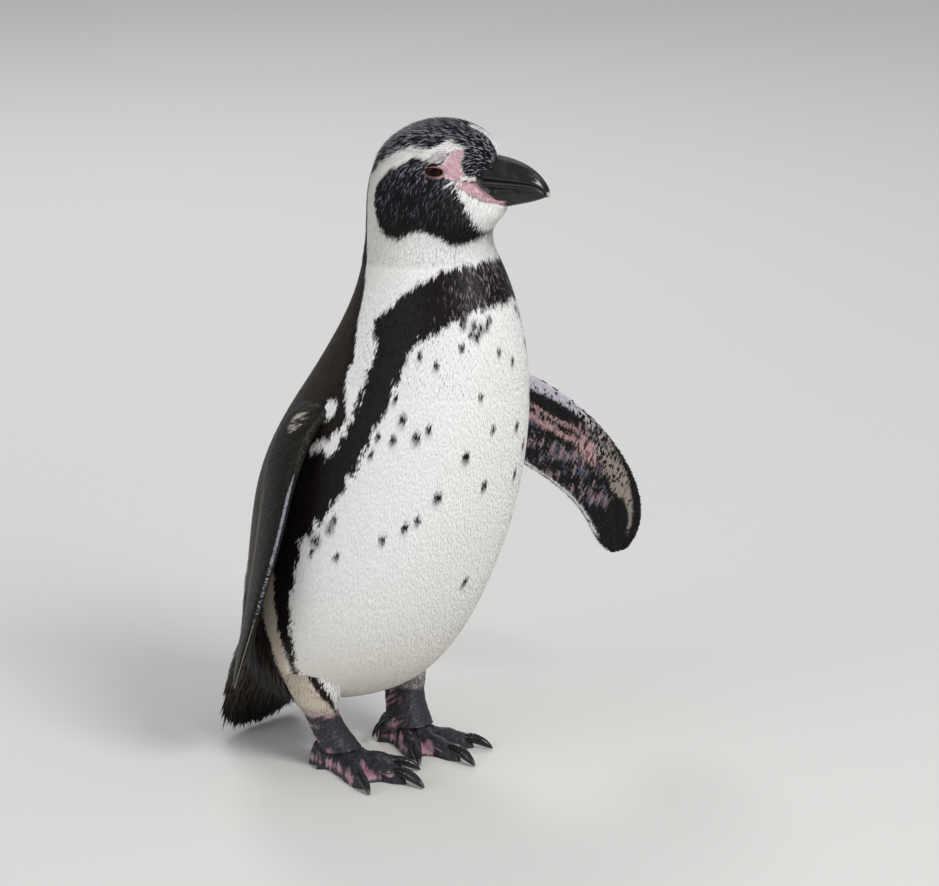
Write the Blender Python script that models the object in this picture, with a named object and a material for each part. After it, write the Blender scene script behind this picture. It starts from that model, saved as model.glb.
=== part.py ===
"""A Humboldt penguin as a life-size standing model, in metres, +Z up.

The bird faces -Y with its head turned to its left (+X). Its left flipper is held out and its right one
hangs. Nearly every piece is a loft of flat sections. A section runs from an upper edge point to a lower edge
point of the piece's own plane, and bulges to both sides of that plane by its half-thickness. The tables below
are in millimetres; for the bird itself the plane's axes are forward and up, and up starts at the floor.
"""

import math

import bmesh
import bpy
import numpy as np
from mathutils import Matrix, Vector

MM = 0.001
GAP = 0.5  # clearance between neighbouring pieces

# Columns: upper edge (forward, up), lower edge (forward, up), half-width, where the section is widest as a
# share of the way from upper to lower edge, and squareness (2 is an ellipse).
BODY = (
    (-88, 72, -74, 56, 12, 0.50, 2.0),
    (-89, 92, -48, 47, 40, 0.52, 2.0),
    (-88, 116, -8, 44, 64, 0.54, 2.0),
    (-86, 143, 35, 54, 80, 0.55, 2.0),
    (-83, 172, 72, 73, 90, 0.55, 2.0),
    (-78, 204, 101, 111, 94, 0.55, 2.1),
    (-70, 237, 125, 158, 95, 0.54, 2.2),
    (-55, 269, 146, 210, 92, 0.53, 2.3),
    (-35.5, 300, 160, 262, 86, 0.52, 2.3),
    (-12.5, 329, 168, 312, 78, 0.50, 2.3),
    (5.5, 356, 171, 356, 69, 0.48, 2.2),
    (19.5, 382, 166, 393, 59, 0.47, 2.1),
    (29, 406, 156, 421, 51, 0.47, 2.0),
    (34.5, 429, 144, 440, 45, 0.48, 2.0),
    (38, 452, 138, 453, 42.5, 0.49, 2.0),
    (38.5, 476, 144, 462, 42, 0.48, 2.1),
    (41.5, 500, 149, 469, 40, 0.47, 2.15),
    (53, 523.5, 153, 473, 37.5, 0.44, 2.15),
    (76, 540.5, 155, 476, 33, 0.41, 2.15),
    (103.5, 544, 155, 478, 26, 0.37, 2.1),
    (127.5, 540, 154, 480, 18.5, 0.34, 2.1),
    (142.5, 530.5, 153, 482, 12.5, 0.36, 2.1),
    (147, 517, 150, 486, 9, 0.40, 2.1),
)
HEAD_CUT = 14.0  # row where the head meets the neck
NECK_CUT = 10.6  # row where the neck meets the trunk
CUT_STEP = 0.03  # rows left out at a cut, so that the two pieces stay apart

# The face narrows towards the bill: share taken off the width, over which forward places, around which height.
FACE_PINCH = 0.46
PINCH_FROM, PINCH_TO = 106.0, 140.0
PINCH_HEIGHT, PINCH_REACH = 499.0, 24.0

HEAD_TURN = 20.0  # degrees to the bird's left
TURN_FROM, TURN_TO = 10.5, 15.5  # rows over which the neck twists
TURN_AXIS = 92.0  # forward place of the neck's upright axis

UPPER_BILL = (
    (114, 512, 121, 500.0, 15.5, 0.72, 2.2),
    (127, 517.5, 130, 498.6, 14.8, 0.72, 2.2),
    (140, 519, 142, 497.6, 13.2, 0.72, 2.2),
    (151, 518, 152, 497.0, 11.6, 0.74, 2.2),
    (162, 515.5, 163, 496.6, 10.0, 0.74, 2.2),
    (172, 511.5, 172, 496.2, 8.4, 0.74, 2.1),
    (180.5, 505.5, 179, 495.2, 6.8, 0.72, 2.1),
    (186.5, 498.5, 184, 493.0, 5.0, 0.68, 2.0),
    (189.5, 492.0, 186.5, 489.6, 3.3, 0.60, 2.0),
    (189.5, 487.5, 187.5, 486.5, 1.4, 0.50, 2.0),
)
LOWER_BILL = (
    (114, 495.0, 122, 478.0, 13.5, 0.45, 2.2),
    (128, 497.0, 134, 474.5, 13.8, 0.42, 2.2),
    (142, 496.6, 146, 475.0, 12.6, 0.38, 2.2),
    (154, 496.0, 156, 477.5, 10.8, 0.34, 2.2),
    (165, 495.6, 166, 480.0, 8.8, 0.32, 2.2),
    (174, 494.8, 174, 482.0, 6.8, 0.32, 2.1),
    (181, 492.6, 180.5, 484.2, 4.6, 0.36, 2.0),
    (185.5, 489.4, 185, 486.2, 2.0, 0.50, 2.0),
)

EYE_AT = (103.0, 509.0)  # forward, up
EYE_SIDE = 27.6
EYE_RADIUS = 8.4

TAIL = (
    (-70, 134, -48, 108, 26, 0.5, 2.0),
    (-87, 106, -61, 82, 36, 0.5, 2.2),
    (-96, 80, -73, 58, 41, 0.5, 2.4),
    (-102, 54, -82, 38, 44, 0.5, 2.6),
    (-104, 32, -88, 22, 44, 0.5, 2.6),
    (-103, 16, -92, 11, 40, 0.5, 2.4),
    (-100, 7.5, -93, 5.5, 33, 0.5, 2.2),
    (-99, 3.6, -95, 3.2, 23, 0.5, 2.0),
)

# Flipper, in its own plane: along the flipper and towards its front edge.
FLIPPER = (
    (0, 15, 0, -26, 8.5, 0.42, 2.0),
    (29, 24, 27, -35, 8.0, 0.40, 2.0),
    (61, 30, 59, -42, 7.2, 0.38, 2.0),
    (95, 33, 94, -45, 6.4, 0.36, 2.0),
    (126, 32, 124, -43, 5.6, 0.35, 2.0),
    (158, 28, 154, -40, 4.9, 0.35, 2.0),
    (189, 20, 183, -40, 4.2, 0.36, 2.0),
    (218, 8, 208, -45, 3.6, 0.38, 2.0),
    (241, -9, 226, -53, 3.0, 0.42, 2.0),
    (254, -27, 240, -58, 2.3, 0.46, 2.0),
    (259, -43, 253, -57, 1.6, 0.5, 2.0),
)
SHOULDER = {"left": (66, 57, 328), "right": (-88, 21, 320.5)}  # side, forward, up
# Direction of the flipper's length, and of its front edge before it is squared to the length.
FLIPPER_ALONG = {"left": (0.705, 0.331, -0.627), "right": (-0.148, -0.144, -0.978)}
FLIPPER_FRONT = {"left": (0.226, 0.734, 0.641), "right": (-0.499, 0.865, -0.052)}
FLIPPER_BOW = {"left": 9.0, "right": -1.4}  # how far the middle stands out from the straight blade
FLIPPER_SINK = {"left": 0.0, "right": 18.0}  # how far the root dips into the body
SINK_LENGTH = 80.0
FLIPPER_TWIST = {"left": 0.0, "right": 21.4}  # degrees from root to tip

# Legs: side and forward place of the ankle, above the foot. The tops of the legs stand further apart.
LEG_SPLAY = 13.0
SPLAY_FROM, SPLAY_TO = 15.0, 58.0  # heights over which the legs lean outwards
FEET = {"left": (42, 26), "right": (-42, 26)}
TOE_OUT = {"left": -11.0, "right": 1.0}  # degrees away from straight ahead, towards the bird's own side
THIGH = (
    (-62, 112, 16, 90, 22, 0.5, 2.0),
    (-54, 92, 14, 74, 21, 0.5, 2.0),
    (-44, 74, 8, 62, 18.5, 0.5, 2.0),
    (-34, 60, 4, 52, 16, 0.5, 2.0),
    (-29, 54, 2, 48, 14.6, 0.5, 2.0),
)
TARSUS = (
    (-27, 62, 1, 58, 14.0, 0.5, 2.3),
    (-25, 49, 2, 45, 14.0, 0.5, 2.4),
    (-21, 36, 6, 34, 14.0, 0.5, 2.4),
    (-17, 25, 12, 26, 15.0, 0.5, 2.4),
    (-14, 14, 18, 18, 16.0, 0.5, 2.4),
)

ANKLE_FRONT = {"left": 7.0, "right": 0.0}  # how much further forward the ankle bone's front lies

# Toes: share of the toe's length, height, half-width. The sole is flat at the floor.
TOE = (
    (0.00, 19.0, 11.5),
    (0.22, 18.0, 11.0),
    (0.45, 15.5, 9.0),
    (0.65, 14.0, 8.2),
    (0.82, 13.5, 7.8),
    (0.94, 11.5, 6.6),
    (1.00, 8.0, 4.6),
)
# Length of each toe, and its degrees towards the bird's middle line from the middle toe.
TOES = {"inner": (49, 29.0), "middle": (68, 0.0), "outer": (58, -31.0)}
HIND_TOE = (21, 104.0)
HIND_LIFT, HIND_DROOP = 15.0, 42.0  # height of its claw, and degrees by which the claw points down
WEB_THICK = 5.5
WEB_REACH = 0.94  # share of the shorter neighbouring toe that the web covers
WEB_SAG = 10.0
CLAW_LENGTH = {"inner": 22, "middle": 26, "outer": 23, "hind": 13}
CLAW_SIZE = {"inner": 1.2, "middle": 1.4, "outer": 1.25, "hind": 0.62}
CLAW = (
    (-0.34, 8.4, -0.34, 3.2, 2.6, 0.5, 2.0),
    (0.00, 10.2, 0.00, 3.4, 3.3, 0.5, 2.0),
    (0.25, 10.2, 0.20, 3.2, 3.4, 0.5, 2.0),
    (0.50, 9.0, 0.42, 2.5, 3.1, 0.5, 2.0),
    (0.75, 6.7, 0.66, 1.6, 2.5, 0.5, 2.0),
    (0.93, 3.6, 0.86, 0.8, 1.5, 0.5, 2.0),
    (1.00, 1.4, 0.97, 0.5, 0.6, 0.5, 2.0),
)

AROUND = 24

COLOURS = {
    "plumage_white": (0.86, 0.86, 0.84, 0.6),
    "plumage_dark": (0.045, 0.038, 0.036, 0.6),
    "foot_skin": (0.055, 0.05, 0.06, 0.5),
    "horn": (0.02, 0.02, 0.022, 0.25),
    "eye": (0.06, 0.02, 0.012, 0.08),
}


def clear_scene():
    for obj in list(bpy.data.objects):
        bpy.data.objects.remove(obj)


def collection(name):
    made = bpy.data.collections.new(name)
    bpy.context.scene.collection.children.link(made)
    return made


def material(name):
    red, green, blue, rough = COLOURS[name]
    made = bpy.data.materials.new(name)
    made.use_nodes = True
    shader = made.node_tree.nodes["Principled BSDF"]
    shader.inputs["Base Color"].default_value = (red, green, blue, 1)
    shader.inputs["Roughness"].default_value = rough
    shader.inputs["Metallic"].default_value = 0.0
    return made


def spline(rows, at):
    """A uniform cubic B-spline with these rows as its control points, from the first row to the last."""
    rows = np.asarray(rows, float)
    held = np.vstack([2 * rows[0] - rows[1], rows, 2 * rows[-1] - rows[-2]])
    cell = np.clip(np.floor(at).astype(int), 0, len(rows) - 2)
    u = (at - cell)[:, None]
    weights = ((1 - u) ** 3, 3 * u**3 - 6 * u**2 + 4, -3 * u**3 + 3 * u**2 + 3 * u + 1, u**3)
    return sum(w * held[cell + k] for k, w in enumerate(weights)) / 6


def sections(rows, at, around, grow=0.0):
    """Points of the loft in its own plane and thickness: arrays (stations, around, 3), in millimetres."""
    row = spline(rows, at)
    upper, lower = row[:, None, 0:2], row[:, None, 2:4]
    across = lower - upper
    unit = across / np.maximum(np.linalg.norm(across, axis=2, keepdims=True), 1e-9)
    upper, lower = upper - grow * unit, lower + grow * unit
    half, widest, square = (row[:, k, None] for k in (4, 5, 6))
    angle = np.linspace(0, 2 * math.pi, around, endpoint=False)[None, :]
    cosine, sine = np.cos(angle), np.sin(angle)
    depth = (1 - np.sign(cosine) * np.abs(cosine) ** (2 / square)) / 2
    depth = depth ** (np.log(widest) / math.log(0.5))
    side = np.sign(sine) * np.abs(sine) ** (2 / square) * (half + grow)
    plane = upper + depth[:, :, None] * (lower - upper)
    return np.concatenate([plane, side[:, :, None]], axis=2)


def closed_mesh(name, rings):
    """A closed mesh from rings of points, with a centre point on each end."""
    count, around = rings.shape[:2]
    ends = rings[[0, -1]].mean(axis=1)
    points = np.vstack([rings.reshape(-1, 3), ends]) * MM
    faces = []
    for i in range(count - 1):
        for j in range(around):
            k = (j + 1) % around
            faces.append((i * around + j, i * around + k, (i + 1) * around + k, (i + 1) * around + j))
    for j in range(around):
        k = (j + 1) % around
        last = (count - 1) * around
        faces.append((count * around, k, j))
        faces.append((count * around + 1, last + j, last + k))
    mesh = bpy.data.meshes.new(name)
    mesh.from_pydata(points.tolist(), [], faces)
    shaped = bmesh.new()
    shaped.from_mesh(mesh)
    bmesh.ops.recalc_face_normals(shaped, faces=shaped.faces)
    bmesh.ops.triangulate(shaped, faces=shaped.faces)
    shaped.to_mesh(mesh)
    shaped.free()
    mesh.shade_smooth()
    return mesh


def place_body(points, turn):
    """From forward, up, side to the world's axes, turned by these degrees about the neck's axis."""
    forward, up, side = points[..., 0], points[..., 1], points[..., 2]
    angle = np.radians(turn)
    ahead = forward - TURN_AXIS
    x = side * np.cos(angle) + ahead * np.sin(angle)
    y = -(TURN_AXIS + ahead * np.cos(angle) - side * np.sin(angle))
    return np.stack([x, y, up], axis=-1)


def face_width(points):
    """What is left of the head's width at these places."""
    share = np.clip((points[..., 0] - PINCH_FROM) / (PINCH_TO - PINCH_FROM), 0, 1)
    level = np.exp(-(((points[..., 1] - PINCH_HEIGHT) / PINCH_REACH) ** 2))
    return 1 - FACE_PINCH * share * share * (3 - 2 * share) * level


def body_rings(at, around, grow=0.0):
    share = np.clip((at - TURN_FROM) / (TURN_TO - TURN_FROM), 0, 1)
    turn = HEAD_TURN * share * share * (3 - 2 * share)
    points = sections(BODY, at, around, grow)
    points[..., 2] *= face_width(points)
    return place_body(points, turn[:, None])


def head_loft(rows, steps, around, grow=0.0):
    at = np.linspace(0, len(rows) - 1, steps)
    return place_body(sections(rows, at, around, grow), HEAD_TURN)


def axes(along, front):
    """Unit vectors of a blade's length, front edge and thickness, as columns."""
    a = Vector(along).normalized()
    b = Vector(front)
    b = (b - a * a.dot(b)).normalized()
    return Matrix((a, b, a.cross(b))).transposed()


def world(side, forward, up):
    return Vector((side, -forward, up))


def flipper_rings(side, steps, around, grow=0.0):
    at = np.linspace(0, len(FLIPPER) - 1, steps)
    local = sections(FLIPPER, at, around, grow)
    length = FLIPPER[-1][0]
    bow = FLIPPER_BOW[side] * np.sin(math.pi * np.clip(local[..., 0] / length, 0, 1))
    dip = FLIPPER_SINK[side] * np.clip(1 - local[..., 0] / SINK_LENGTH, 0, 1) ** 2
    outward = 1 if side == "right" else -1
    local[..., 2] += outward * (bow - dip)
    twist = np.radians(FLIPPER_TWIST[side]) * local[..., 0] / length
    across, thick = local[..., 1].copy(), local[..., 2].copy()
    local[..., 1] = across * np.cos(twist) - thick * np.sin(twist)
    local[..., 2] = across * np.sin(twist) + thick * np.cos(twist)
    turned = np.array(axes(world(*FLIPPER_ALONG[side]), world(*FLIPPER_FRONT[side])))
    return local @ turned.T + np.array(world(*SHOULDER[side]))


def leg_rings(rows, side, steps, around, grow=0.0):
    at = np.linspace(0, len(rows) - 1, steps)
    local = sections(rows, at, around, grow)
    out, forward = FEET[side]
    own = 1 if side == "left" else -1
    lean = own * LEG_SPLAY * np.clip((local[..., 1] - SPLAY_FROM) / (SPLAY_TO - SPLAY_FROM), 0, 1)
    return np.stack([local[..., 2] + out + lean, -(local[..., 0] + forward), local[..., 1]], axis=-1)


def ankle_rings(side, grow=0.0):
    """The bare ankle bone, which is stouter on the left."""
    rows = np.array(TARSUS)
    rows[:, 2] += ANKLE_FRONT[side]
    return leg_rings(rows, side, 7, 12, grow)


def foot_turn(side, towards_middle):
    """Degrees from straight ahead to the bird's left, of a direction on one foot."""
    own = 1 if side == "left" else -1
    return own * (TOE_OUT[side] - towards_middle)


def on_foot(local, side, turn):
    """From along a toe, across it to the left, and up, to world axes."""
    angle = math.radians(turn)
    out, forward = FEET[side]
    ahead, left, up = local[..., 0], local[..., 1], local[..., 2]
    x = out + ahead * math.sin(angle) + left * math.cos(angle)
    y = -(forward + ahead * math.cos(angle) - left * math.sin(angle))
    return np.stack([x, y, up], axis=-1)


def toe_rings(side, length, turn, around, start=0.0, base=0.0):
    """A toe: a half-round bar with a flat sole at the floor."""
    at = np.linspace(0, len(TOE) - 1, 9)
    row = spline(TOE, at)
    angle = np.linspace(0, 2 * math.pi, around, endpoint=False)[None, :]
    ahead = start + row[:, 0, None] * (length - start) + 0 * angle
    height, half = row[:, 1, None], row[:, 2, None]
    up = np.maximum(base + height * (0.5 + 0.62 * np.sin(angle)) / 1.12, 0.0)
    return on_foot(np.stack([ahead, half * np.cos(angle), up], axis=-1), side, turn)


def web_rings(side, first, second):
    """The skin between two toes: a sheet whose free edge bows back towards the heel."""
    (near, near_turn), (far, far_turn) = TOES[first], TOES[second]
    reach = WEB_REACH * min(near, far)
    mean = (near_turn + far_turn) / 2
    spread = math.radians(abs(near_turn - far_turn) / 2)
    ahead = np.linspace(4, reach, 5)[:, None]
    angle = np.linspace(0, 2 * math.pi, 14, endpoint=False)[None, :]
    across = np.sign(np.cos(angle)) * np.abs(np.cos(angle)) ** 0.6
    left = ahead * math.tan(spread) * across
    pulled = ahead - WEB_SAG * (1 - across**2) * (ahead / reach) ** 2
    up = 1.0 + WEB_THICK * (0.5 + 0.5 * np.sin(angle)) * (1.5 - 0.5 * ahead / reach)
    return on_foot(np.stack([pulled, left, up], axis=-1), side, foot_turn(side, mean))


def claw_rings(side, toe, grow=0.0):
    length, size = CLAW_LENGTH[toe], CLAW_SIZE[toe]
    rows = np.array(CLAW)
    rows[:, [0, 2]] *= length
    rows[:, [1, 3, 4]] *= size
    local = sections(rows, np.linspace(0, len(rows) - 1, 8), 8, grow)
    if toe == "hind":
        start, turn, lift = HIND_TOE[0] - 1.5, foot_turn(side, HIND_TOE[1]), HIND_LIFT
        droop = math.radians(HIND_DROOP)
        ahead, up = local[..., 0].copy(), local[..., 1].copy()
        local[..., 0] = ahead * math.cos(droop) + up * math.sin(droop)
        local[..., 1] = up * math.cos(droop) - ahead * math.sin(droop)
    else:
        start, turn, lift = TOES[toe][0] - 3.0, foot_turn(side, TOES[toe][1]), 0.0
    local = np.stack([local[..., 0] + start, local[..., 2], local[..., 1] + lift], axis=-1)
    return on_foot(local, side, turn)


def add(name, rings, into, mat=None):
    obj = bpy.data.objects.new(name, closed_mesh(name, rings))
    into.objects.link(obj)
    if mat:
        obj.data.materials.append(mat)
    return obj


def add_cutter(name, rings, into):
    obj = add(name, rings, into)
    obj.hide_render = True
    obj.display_type = "WIRE"
    return obj


def combine(obj, other, operation):
    modifier = obj.modifiers.new(operation.lower() + "_" + other.name, "BOOLEAN")
    modifier.operation = operation
    modifier.object = other
    modifier.solver = "EXACT"


def make_ball(name, side, radius, into):
    """A sphere in the place of one eye."""
    own = 1 if side == "left" else -1
    spot = np.array([[[EYE_AT[0], EYE_AT[1], own * EYE_SIDE]]])
    centre = Vector(place_body(spot, HEAD_TURN)[0, 0] * MM)
    bpy.ops.mesh.primitive_uv_sphere_add(segments=16, ring_count=10, radius=radius * MM, location=centre)
    ball = bpy.context.object
    ball.name = name
    for holder in list(ball.users_collection):
        holder.objects.unlink(ball)
    into.objects.link(ball)
    ball.data.shade_smooth()
    return ball


def make_eye(side, bird, cutters, mat):
    """An eye, and the cutter of its socket."""
    eye = make_ball("eye_" + side, side, EYE_RADIUS, bird)
    eye.data.materials.append(mat)
    socket = make_ball("socket_" + side, side, EYE_RADIUS + GAP, cutters)
    socket.hide_render = True
    socket.display_type = "WIRE"
    return socket


def make_body(bird, cutters, mats):
    """Trunk, neck and head, parted by thin cuts, with the eyes let into the head."""
    spans = {
        "trunk": (0.0, NECK_CUT, 20),
        "neck": (NECK_CUT + CUT_STEP, HEAD_CUT, 7),
        "head": (HEAD_CUT + CUT_STEP, len(BODY) - 1.0, 17),
    }
    made, stations = {}, []
    for name, (start, end, steps) in spans.items():
        stations.append(np.linspace(start, end, steps))
        mat = mats["plumage_dark"] if name == "head" else mats["plumage_white"]
        made[name] = add(name, body_rings(stations[-1], AROUND), bird, mat)
    for side in ("left", "right"):
        combine(made["head"], make_eye(side, bird, cutters, mats["eye"]), "DIFFERENCE")
    return add_cutter("body_room", body_rings(np.concatenate(stations), AROUND, GAP), cutters)


def make_bill(bird, cutters, head, mats):
    for name, rows in (("bill_upper", UPPER_BILL), ("bill_lower", LOWER_BILL)):
        add(name, head_loft(rows, 13, 12), bird, mats["horn"])
        combine(head, add_cutter(name + "_room", head_loft(rows, 13, 12, GAP), cutters), "DIFFERENCE")


def make_tail(bird, room, mats):
    at = np.linspace(0, len(TAIL) - 1, 10)
    tail = add("tail", place_body(sections(TAIL, at, 16), 0.0), bird, mats["plumage_dark"])
    combine(tail, room, "DIFFERENCE")


def make_flippers(bird, room, mats):
    for side in ("left", "right"):
        piece = add("flipper_" + side, flipper_rings(side, 17, 12), bird, mats["plumage_dark"])
        combine(piece, room, "DIFFERENCE")


def make_leg(side, bird, cutters, room, mats):
    """The feathered shank, the bare ankle bone and the foot."""
    thigh = add("thigh_" + side, leg_rings(THIGH, side, 6, 16), bird, mats["plumage_white"])
    combine(thigh, room, "DIFFERENCE")
    thigh_room = add_cutter("thigh_room_" + side, leg_rings(THIGH, side, 6, 16, GAP), cutters)
    tarsus = add("tarsus_" + side, ankle_rings(side), bird, mats["foot_skin"])
    combine(tarsus, thigh_room, "DIFFERENCE")
    combine(tarsus, room, "DIFFERENCE")
    make_foot(side, bird, cutters, mats)


def make_foot(side, bird, cutters, mats):
    """The toes and the webs between them as one piece, with room for the ankle bone and the claws."""
    length, turned = TOES["middle"]
    middle = toe_rings(side, length, foot_turn(side, turned), 10, -13.0)
    foot = add("foot_" + side, middle, bird, mats["foot_skin"])
    for toe in ("inner", "outer"):
        length, turned = TOES[toe]
        rings = toe_rings(side, length, foot_turn(side, turned), 10)
        combine(foot, add_cutter(f"toe_{side}_{toe}", rings, cutters), "UNION")
        web = web_rings(side, toe, "middle")
        combine(foot, add_cutter(f"web_{side}_{toe}", web, cutters), "UNION")
    hind = toe_rings(side, HIND_TOE[0], foot_turn(side, HIND_TOE[1]), 10, 4.0, 9.0)
    combine(foot, add_cutter(f"toe_{side}_hind", hind, cutters), "UNION")
    tarsus_room = add_cutter("tarsus_room_" + side, ankle_rings(side, GAP), cutters)
    combine(foot, tarsus_room, "DIFFERENCE")
    for toe in ("inner", "middle", "outer", "hind"):
        add(f"claw_{side}_{toe}", claw_rings(side, toe), bird, mats["horn"])
        claw_room = add_cutter(f"claw_room_{side}_{toe}", claw_rings(side, toe, GAP), cutters)
        combine(foot, claw_room, "DIFFERENCE")


def centre_on_floor(bird, cutters):
    """Moves every object so that the middle of the bird's box is above the origin."""
    bpy.context.view_layer.update()
    graph = bpy.context.evaluated_depsgraph_get()
    low, high = Vector((1e9,) * 3), Vector((-1e9,) * 3)
    for obj in bird.objects:
        seen = obj.evaluated_get(graph)
        for corner in seen.bound_box:
            point = seen.matrix_world @ Vector(corner)
            low = Vector(map(min, low, point))
            high = Vector(map(max, high, point))
    shift = Vector((-(low.x + high.x) / 2, -(low.y + high.y) / 2, -low.z))
    for obj in [*bird.objects, *cutters.objects]:
        obj.location += shift


def main():
    clear_scene()
    bird, cutters = collection("penguin"), collection("cutters")
    mats = {name: material(name) for name in COLOURS}
    room = make_body(bird, cutters, mats)
    make_bill(bird, cutters, bpy.data.objects["head"], mats)
    make_tail(bird, room, mats)
    make_flippers(bird, room, mats)
    for side in ("left", "right"):
        make_leg(side, bird, cutters, room, mats)
    centre_on_floor(bird, cutters)


main()
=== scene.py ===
import math

import bpy
import numpy as np
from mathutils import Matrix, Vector

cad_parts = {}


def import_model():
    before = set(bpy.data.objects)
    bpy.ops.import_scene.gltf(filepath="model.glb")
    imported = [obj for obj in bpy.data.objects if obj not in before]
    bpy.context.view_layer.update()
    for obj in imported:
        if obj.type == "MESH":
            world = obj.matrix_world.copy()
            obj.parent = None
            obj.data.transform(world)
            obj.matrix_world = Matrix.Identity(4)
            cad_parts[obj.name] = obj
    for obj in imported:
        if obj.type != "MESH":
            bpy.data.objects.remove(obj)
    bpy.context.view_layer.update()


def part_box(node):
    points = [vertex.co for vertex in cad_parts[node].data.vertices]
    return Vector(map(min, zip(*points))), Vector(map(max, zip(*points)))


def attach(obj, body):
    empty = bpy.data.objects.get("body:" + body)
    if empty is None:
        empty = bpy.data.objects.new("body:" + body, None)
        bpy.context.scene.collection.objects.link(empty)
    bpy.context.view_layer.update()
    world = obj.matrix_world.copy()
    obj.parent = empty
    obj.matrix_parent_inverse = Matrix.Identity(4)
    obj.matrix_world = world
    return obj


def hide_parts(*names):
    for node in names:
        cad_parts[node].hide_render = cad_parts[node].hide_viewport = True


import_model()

# A Humboldt penguin. Lengths are in millimetres until a mesh is made: side (+ is the bird's left), forward, up.
# The body faces -Y. Every surface is a function of two parameters, u along it and v around it (radians).

# Columns: upper edge (forward, up), lower edge (forward, up), half-width, widest share, squareness.
BODY = (
    (-88, 72, -74, 56, 12, 0.50, 2.0), (-89, 92, -48, 47, 40, 0.52, 2.0), (-88, 116, -8, 44, 64, 0.54, 2.0),
    (-86, 143, 35, 54, 80, 0.55, 2.0), (-83, 172, 72, 73, 90, 0.55, 2.0), (-78, 204, 101, 111, 94, 0.55, 2.1),
    (-70, 237, 125, 158, 95, 0.54, 2.2), (-55, 269, 146, 210, 92, 0.53, 2.3), (-35.5, 300, 160, 262, 86, 0.52, 2.3),
    (-12.5, 329, 168, 312, 78, 0.50, 2.3), (5.5, 356, 171, 356, 69, 0.48, 2.2), (19.5, 382, 166, 393, 59, 0.47, 2.1),
    (29, 406, 156, 421, 51, 0.47, 2.0), (34.5, 429, 144, 440, 45, 0.48, 2.0), (38, 452, 138, 453, 42.5, 0.49, 2.0),
    (38.5, 476, 144, 462, 42, 0.48, 2.1), (41.5, 500, 149, 469, 40, 0.47, 2.15),
    (53, 523.5, 153, 473, 37.5, 0.44, 2.15), (76, 540.5, 155, 476, 33, 0.41, 2.15),
    (103.5, 544, 155, 478, 26, 0.37, 2.1), (127.5, 540, 154, 480, 18.5, 0.34, 2.1),
    (142.5, 530.5, 153, 482, 12.5, 0.36, 2.1), (147, 517, 150, 486, 9, 0.40, 2.1),
)
FACE_PINCH, PINCH_FROM, PINCH_TO, PINCH_HEIGHT, PINCH_REACH = 0.46, 106.0, 140.0, 499.0, 24.0
HEAD_TURN, TURN_FROM, TURN_TO, TURN_AXIS = 20.0, 10.5, 15.5, 92.0
UPPER_BILL = (
    (114, 512, 121, 500.0, 15.5, 0.72, 2.2), (127, 517.5, 130, 498.6, 14.8, 0.72, 2.2),
    (140, 519, 142, 497.6, 13.2, 0.72, 2.2), (151, 518, 152, 497.0, 11.6, 0.74, 2.2),
    (162, 515.5, 163, 496.6, 10.0, 0.74, 2.2), (172, 511.5, 172, 496.2, 8.4, 0.74, 2.1),
    (180.5, 505.5, 179, 495.2, 6.8, 0.72, 2.1), (186.5, 498.5, 184, 493.0, 5.0, 0.68, 2.0),
    (189.5, 492.0, 186.5, 489.6, 3.3, 0.60, 2.0), (189.5, 487.5, 187.5, 486.5, 1.4, 0.50, 2.0),
)
LOWER_BILL = (
    (114, 495.0, 122, 478.0, 13.5, 0.45, 2.2), (128, 497.0, 134, 474.5, 13.8, 0.42, 2.2),
    (142, 496.6, 146, 475.0, 12.6, 0.38, 2.2), (154, 496.0, 156, 477.5, 10.8, 0.34, 2.2),
    (165, 495.6, 166, 480.0, 8.8, 0.32, 2.2), (174, 494.8, 174, 482.0, 6.8, 0.32, 2.1),
    (181, 492.6, 180.5, 484.2, 4.6, 0.36, 2.0), (185.5, 489.4, 185, 486.2, 2.0, 0.50, 2.0),
)
TAIL = (
    (-70, 134, -48, 108, 26, 0.5, 2.0), (-87, 106, -61, 82, 36, 0.5, 2.2), (-96, 80, -73, 58, 41, 0.5, 2.4),
    (-102, 54, -82, 38, 44, 0.5, 2.6), (-104, 32, -88, 22, 44, 0.5, 2.6), (-103, 16, -92, 11, 40, 0.5, 2.4),
    (-100, 7.5, -93, 5.5, 33, 0.5, 2.2), (-99, 3.6, -95, 3.2, 23, 0.5, 2.0),
)
FLIPPER = (
    (0, 15, 0, -26, 8.5, 0.42, 2.0), (29, 24, 27, -35, 8.0, 0.40, 2.0), (61, 30, 59, -42, 7.2, 0.38, 2.0),
    (95, 33, 94, -45, 6.4, 0.36, 2.0), (126, 32, 124, -43, 5.6, 0.35, 2.0), (158, 28, 154, -40, 4.9, 0.35, 2.0),
    (189, 20, 183, -40, 4.2, 0.36, 2.0), (218, 8, 208, -45, 3.6, 0.38, 2.0), (241, -9, 226, -53, 3.0, 0.42, 2.0),
    (254, -27, 240, -58, 2.3, 0.46, 2.0), (259, -43, 253, -57, 1.6, 0.5, 2.0),
)
SHOULDER = {"left": (66, 57, 328), "right": (-88, 21, 320.5)}
FLIPPER_ALONG = {"left": (0.705, 0.331, -0.627), "right": (-0.148, -0.144, -0.978)}
FLIPPER_FRONT = {"left": (0.226, 0.734, 0.641), "right": (-0.499, 0.865, -0.052)}
FLIPPER_BOW, FLIPPER_SINK, SINK_LENGTH = {"left": 9.0, "right": -1.4}, {"left": 0.0, "right": 18.0}, 80.0
FLIPPER_TWIST = {"left": 0.0, "right": 21.4}
ROOT_DIP, ROOT_DIP_LENGTH = 9.0, 30.0  # of both flippers, into the body
LEG_SPLAY, SPLAY_FROM, SPLAY_TO = 13.0, 15.0, 58.0
FEET = {"left": (42, 26), "right": (-42, 26)}
TOE_OUT = {"left": -11.0, "right": 1.0}
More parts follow.
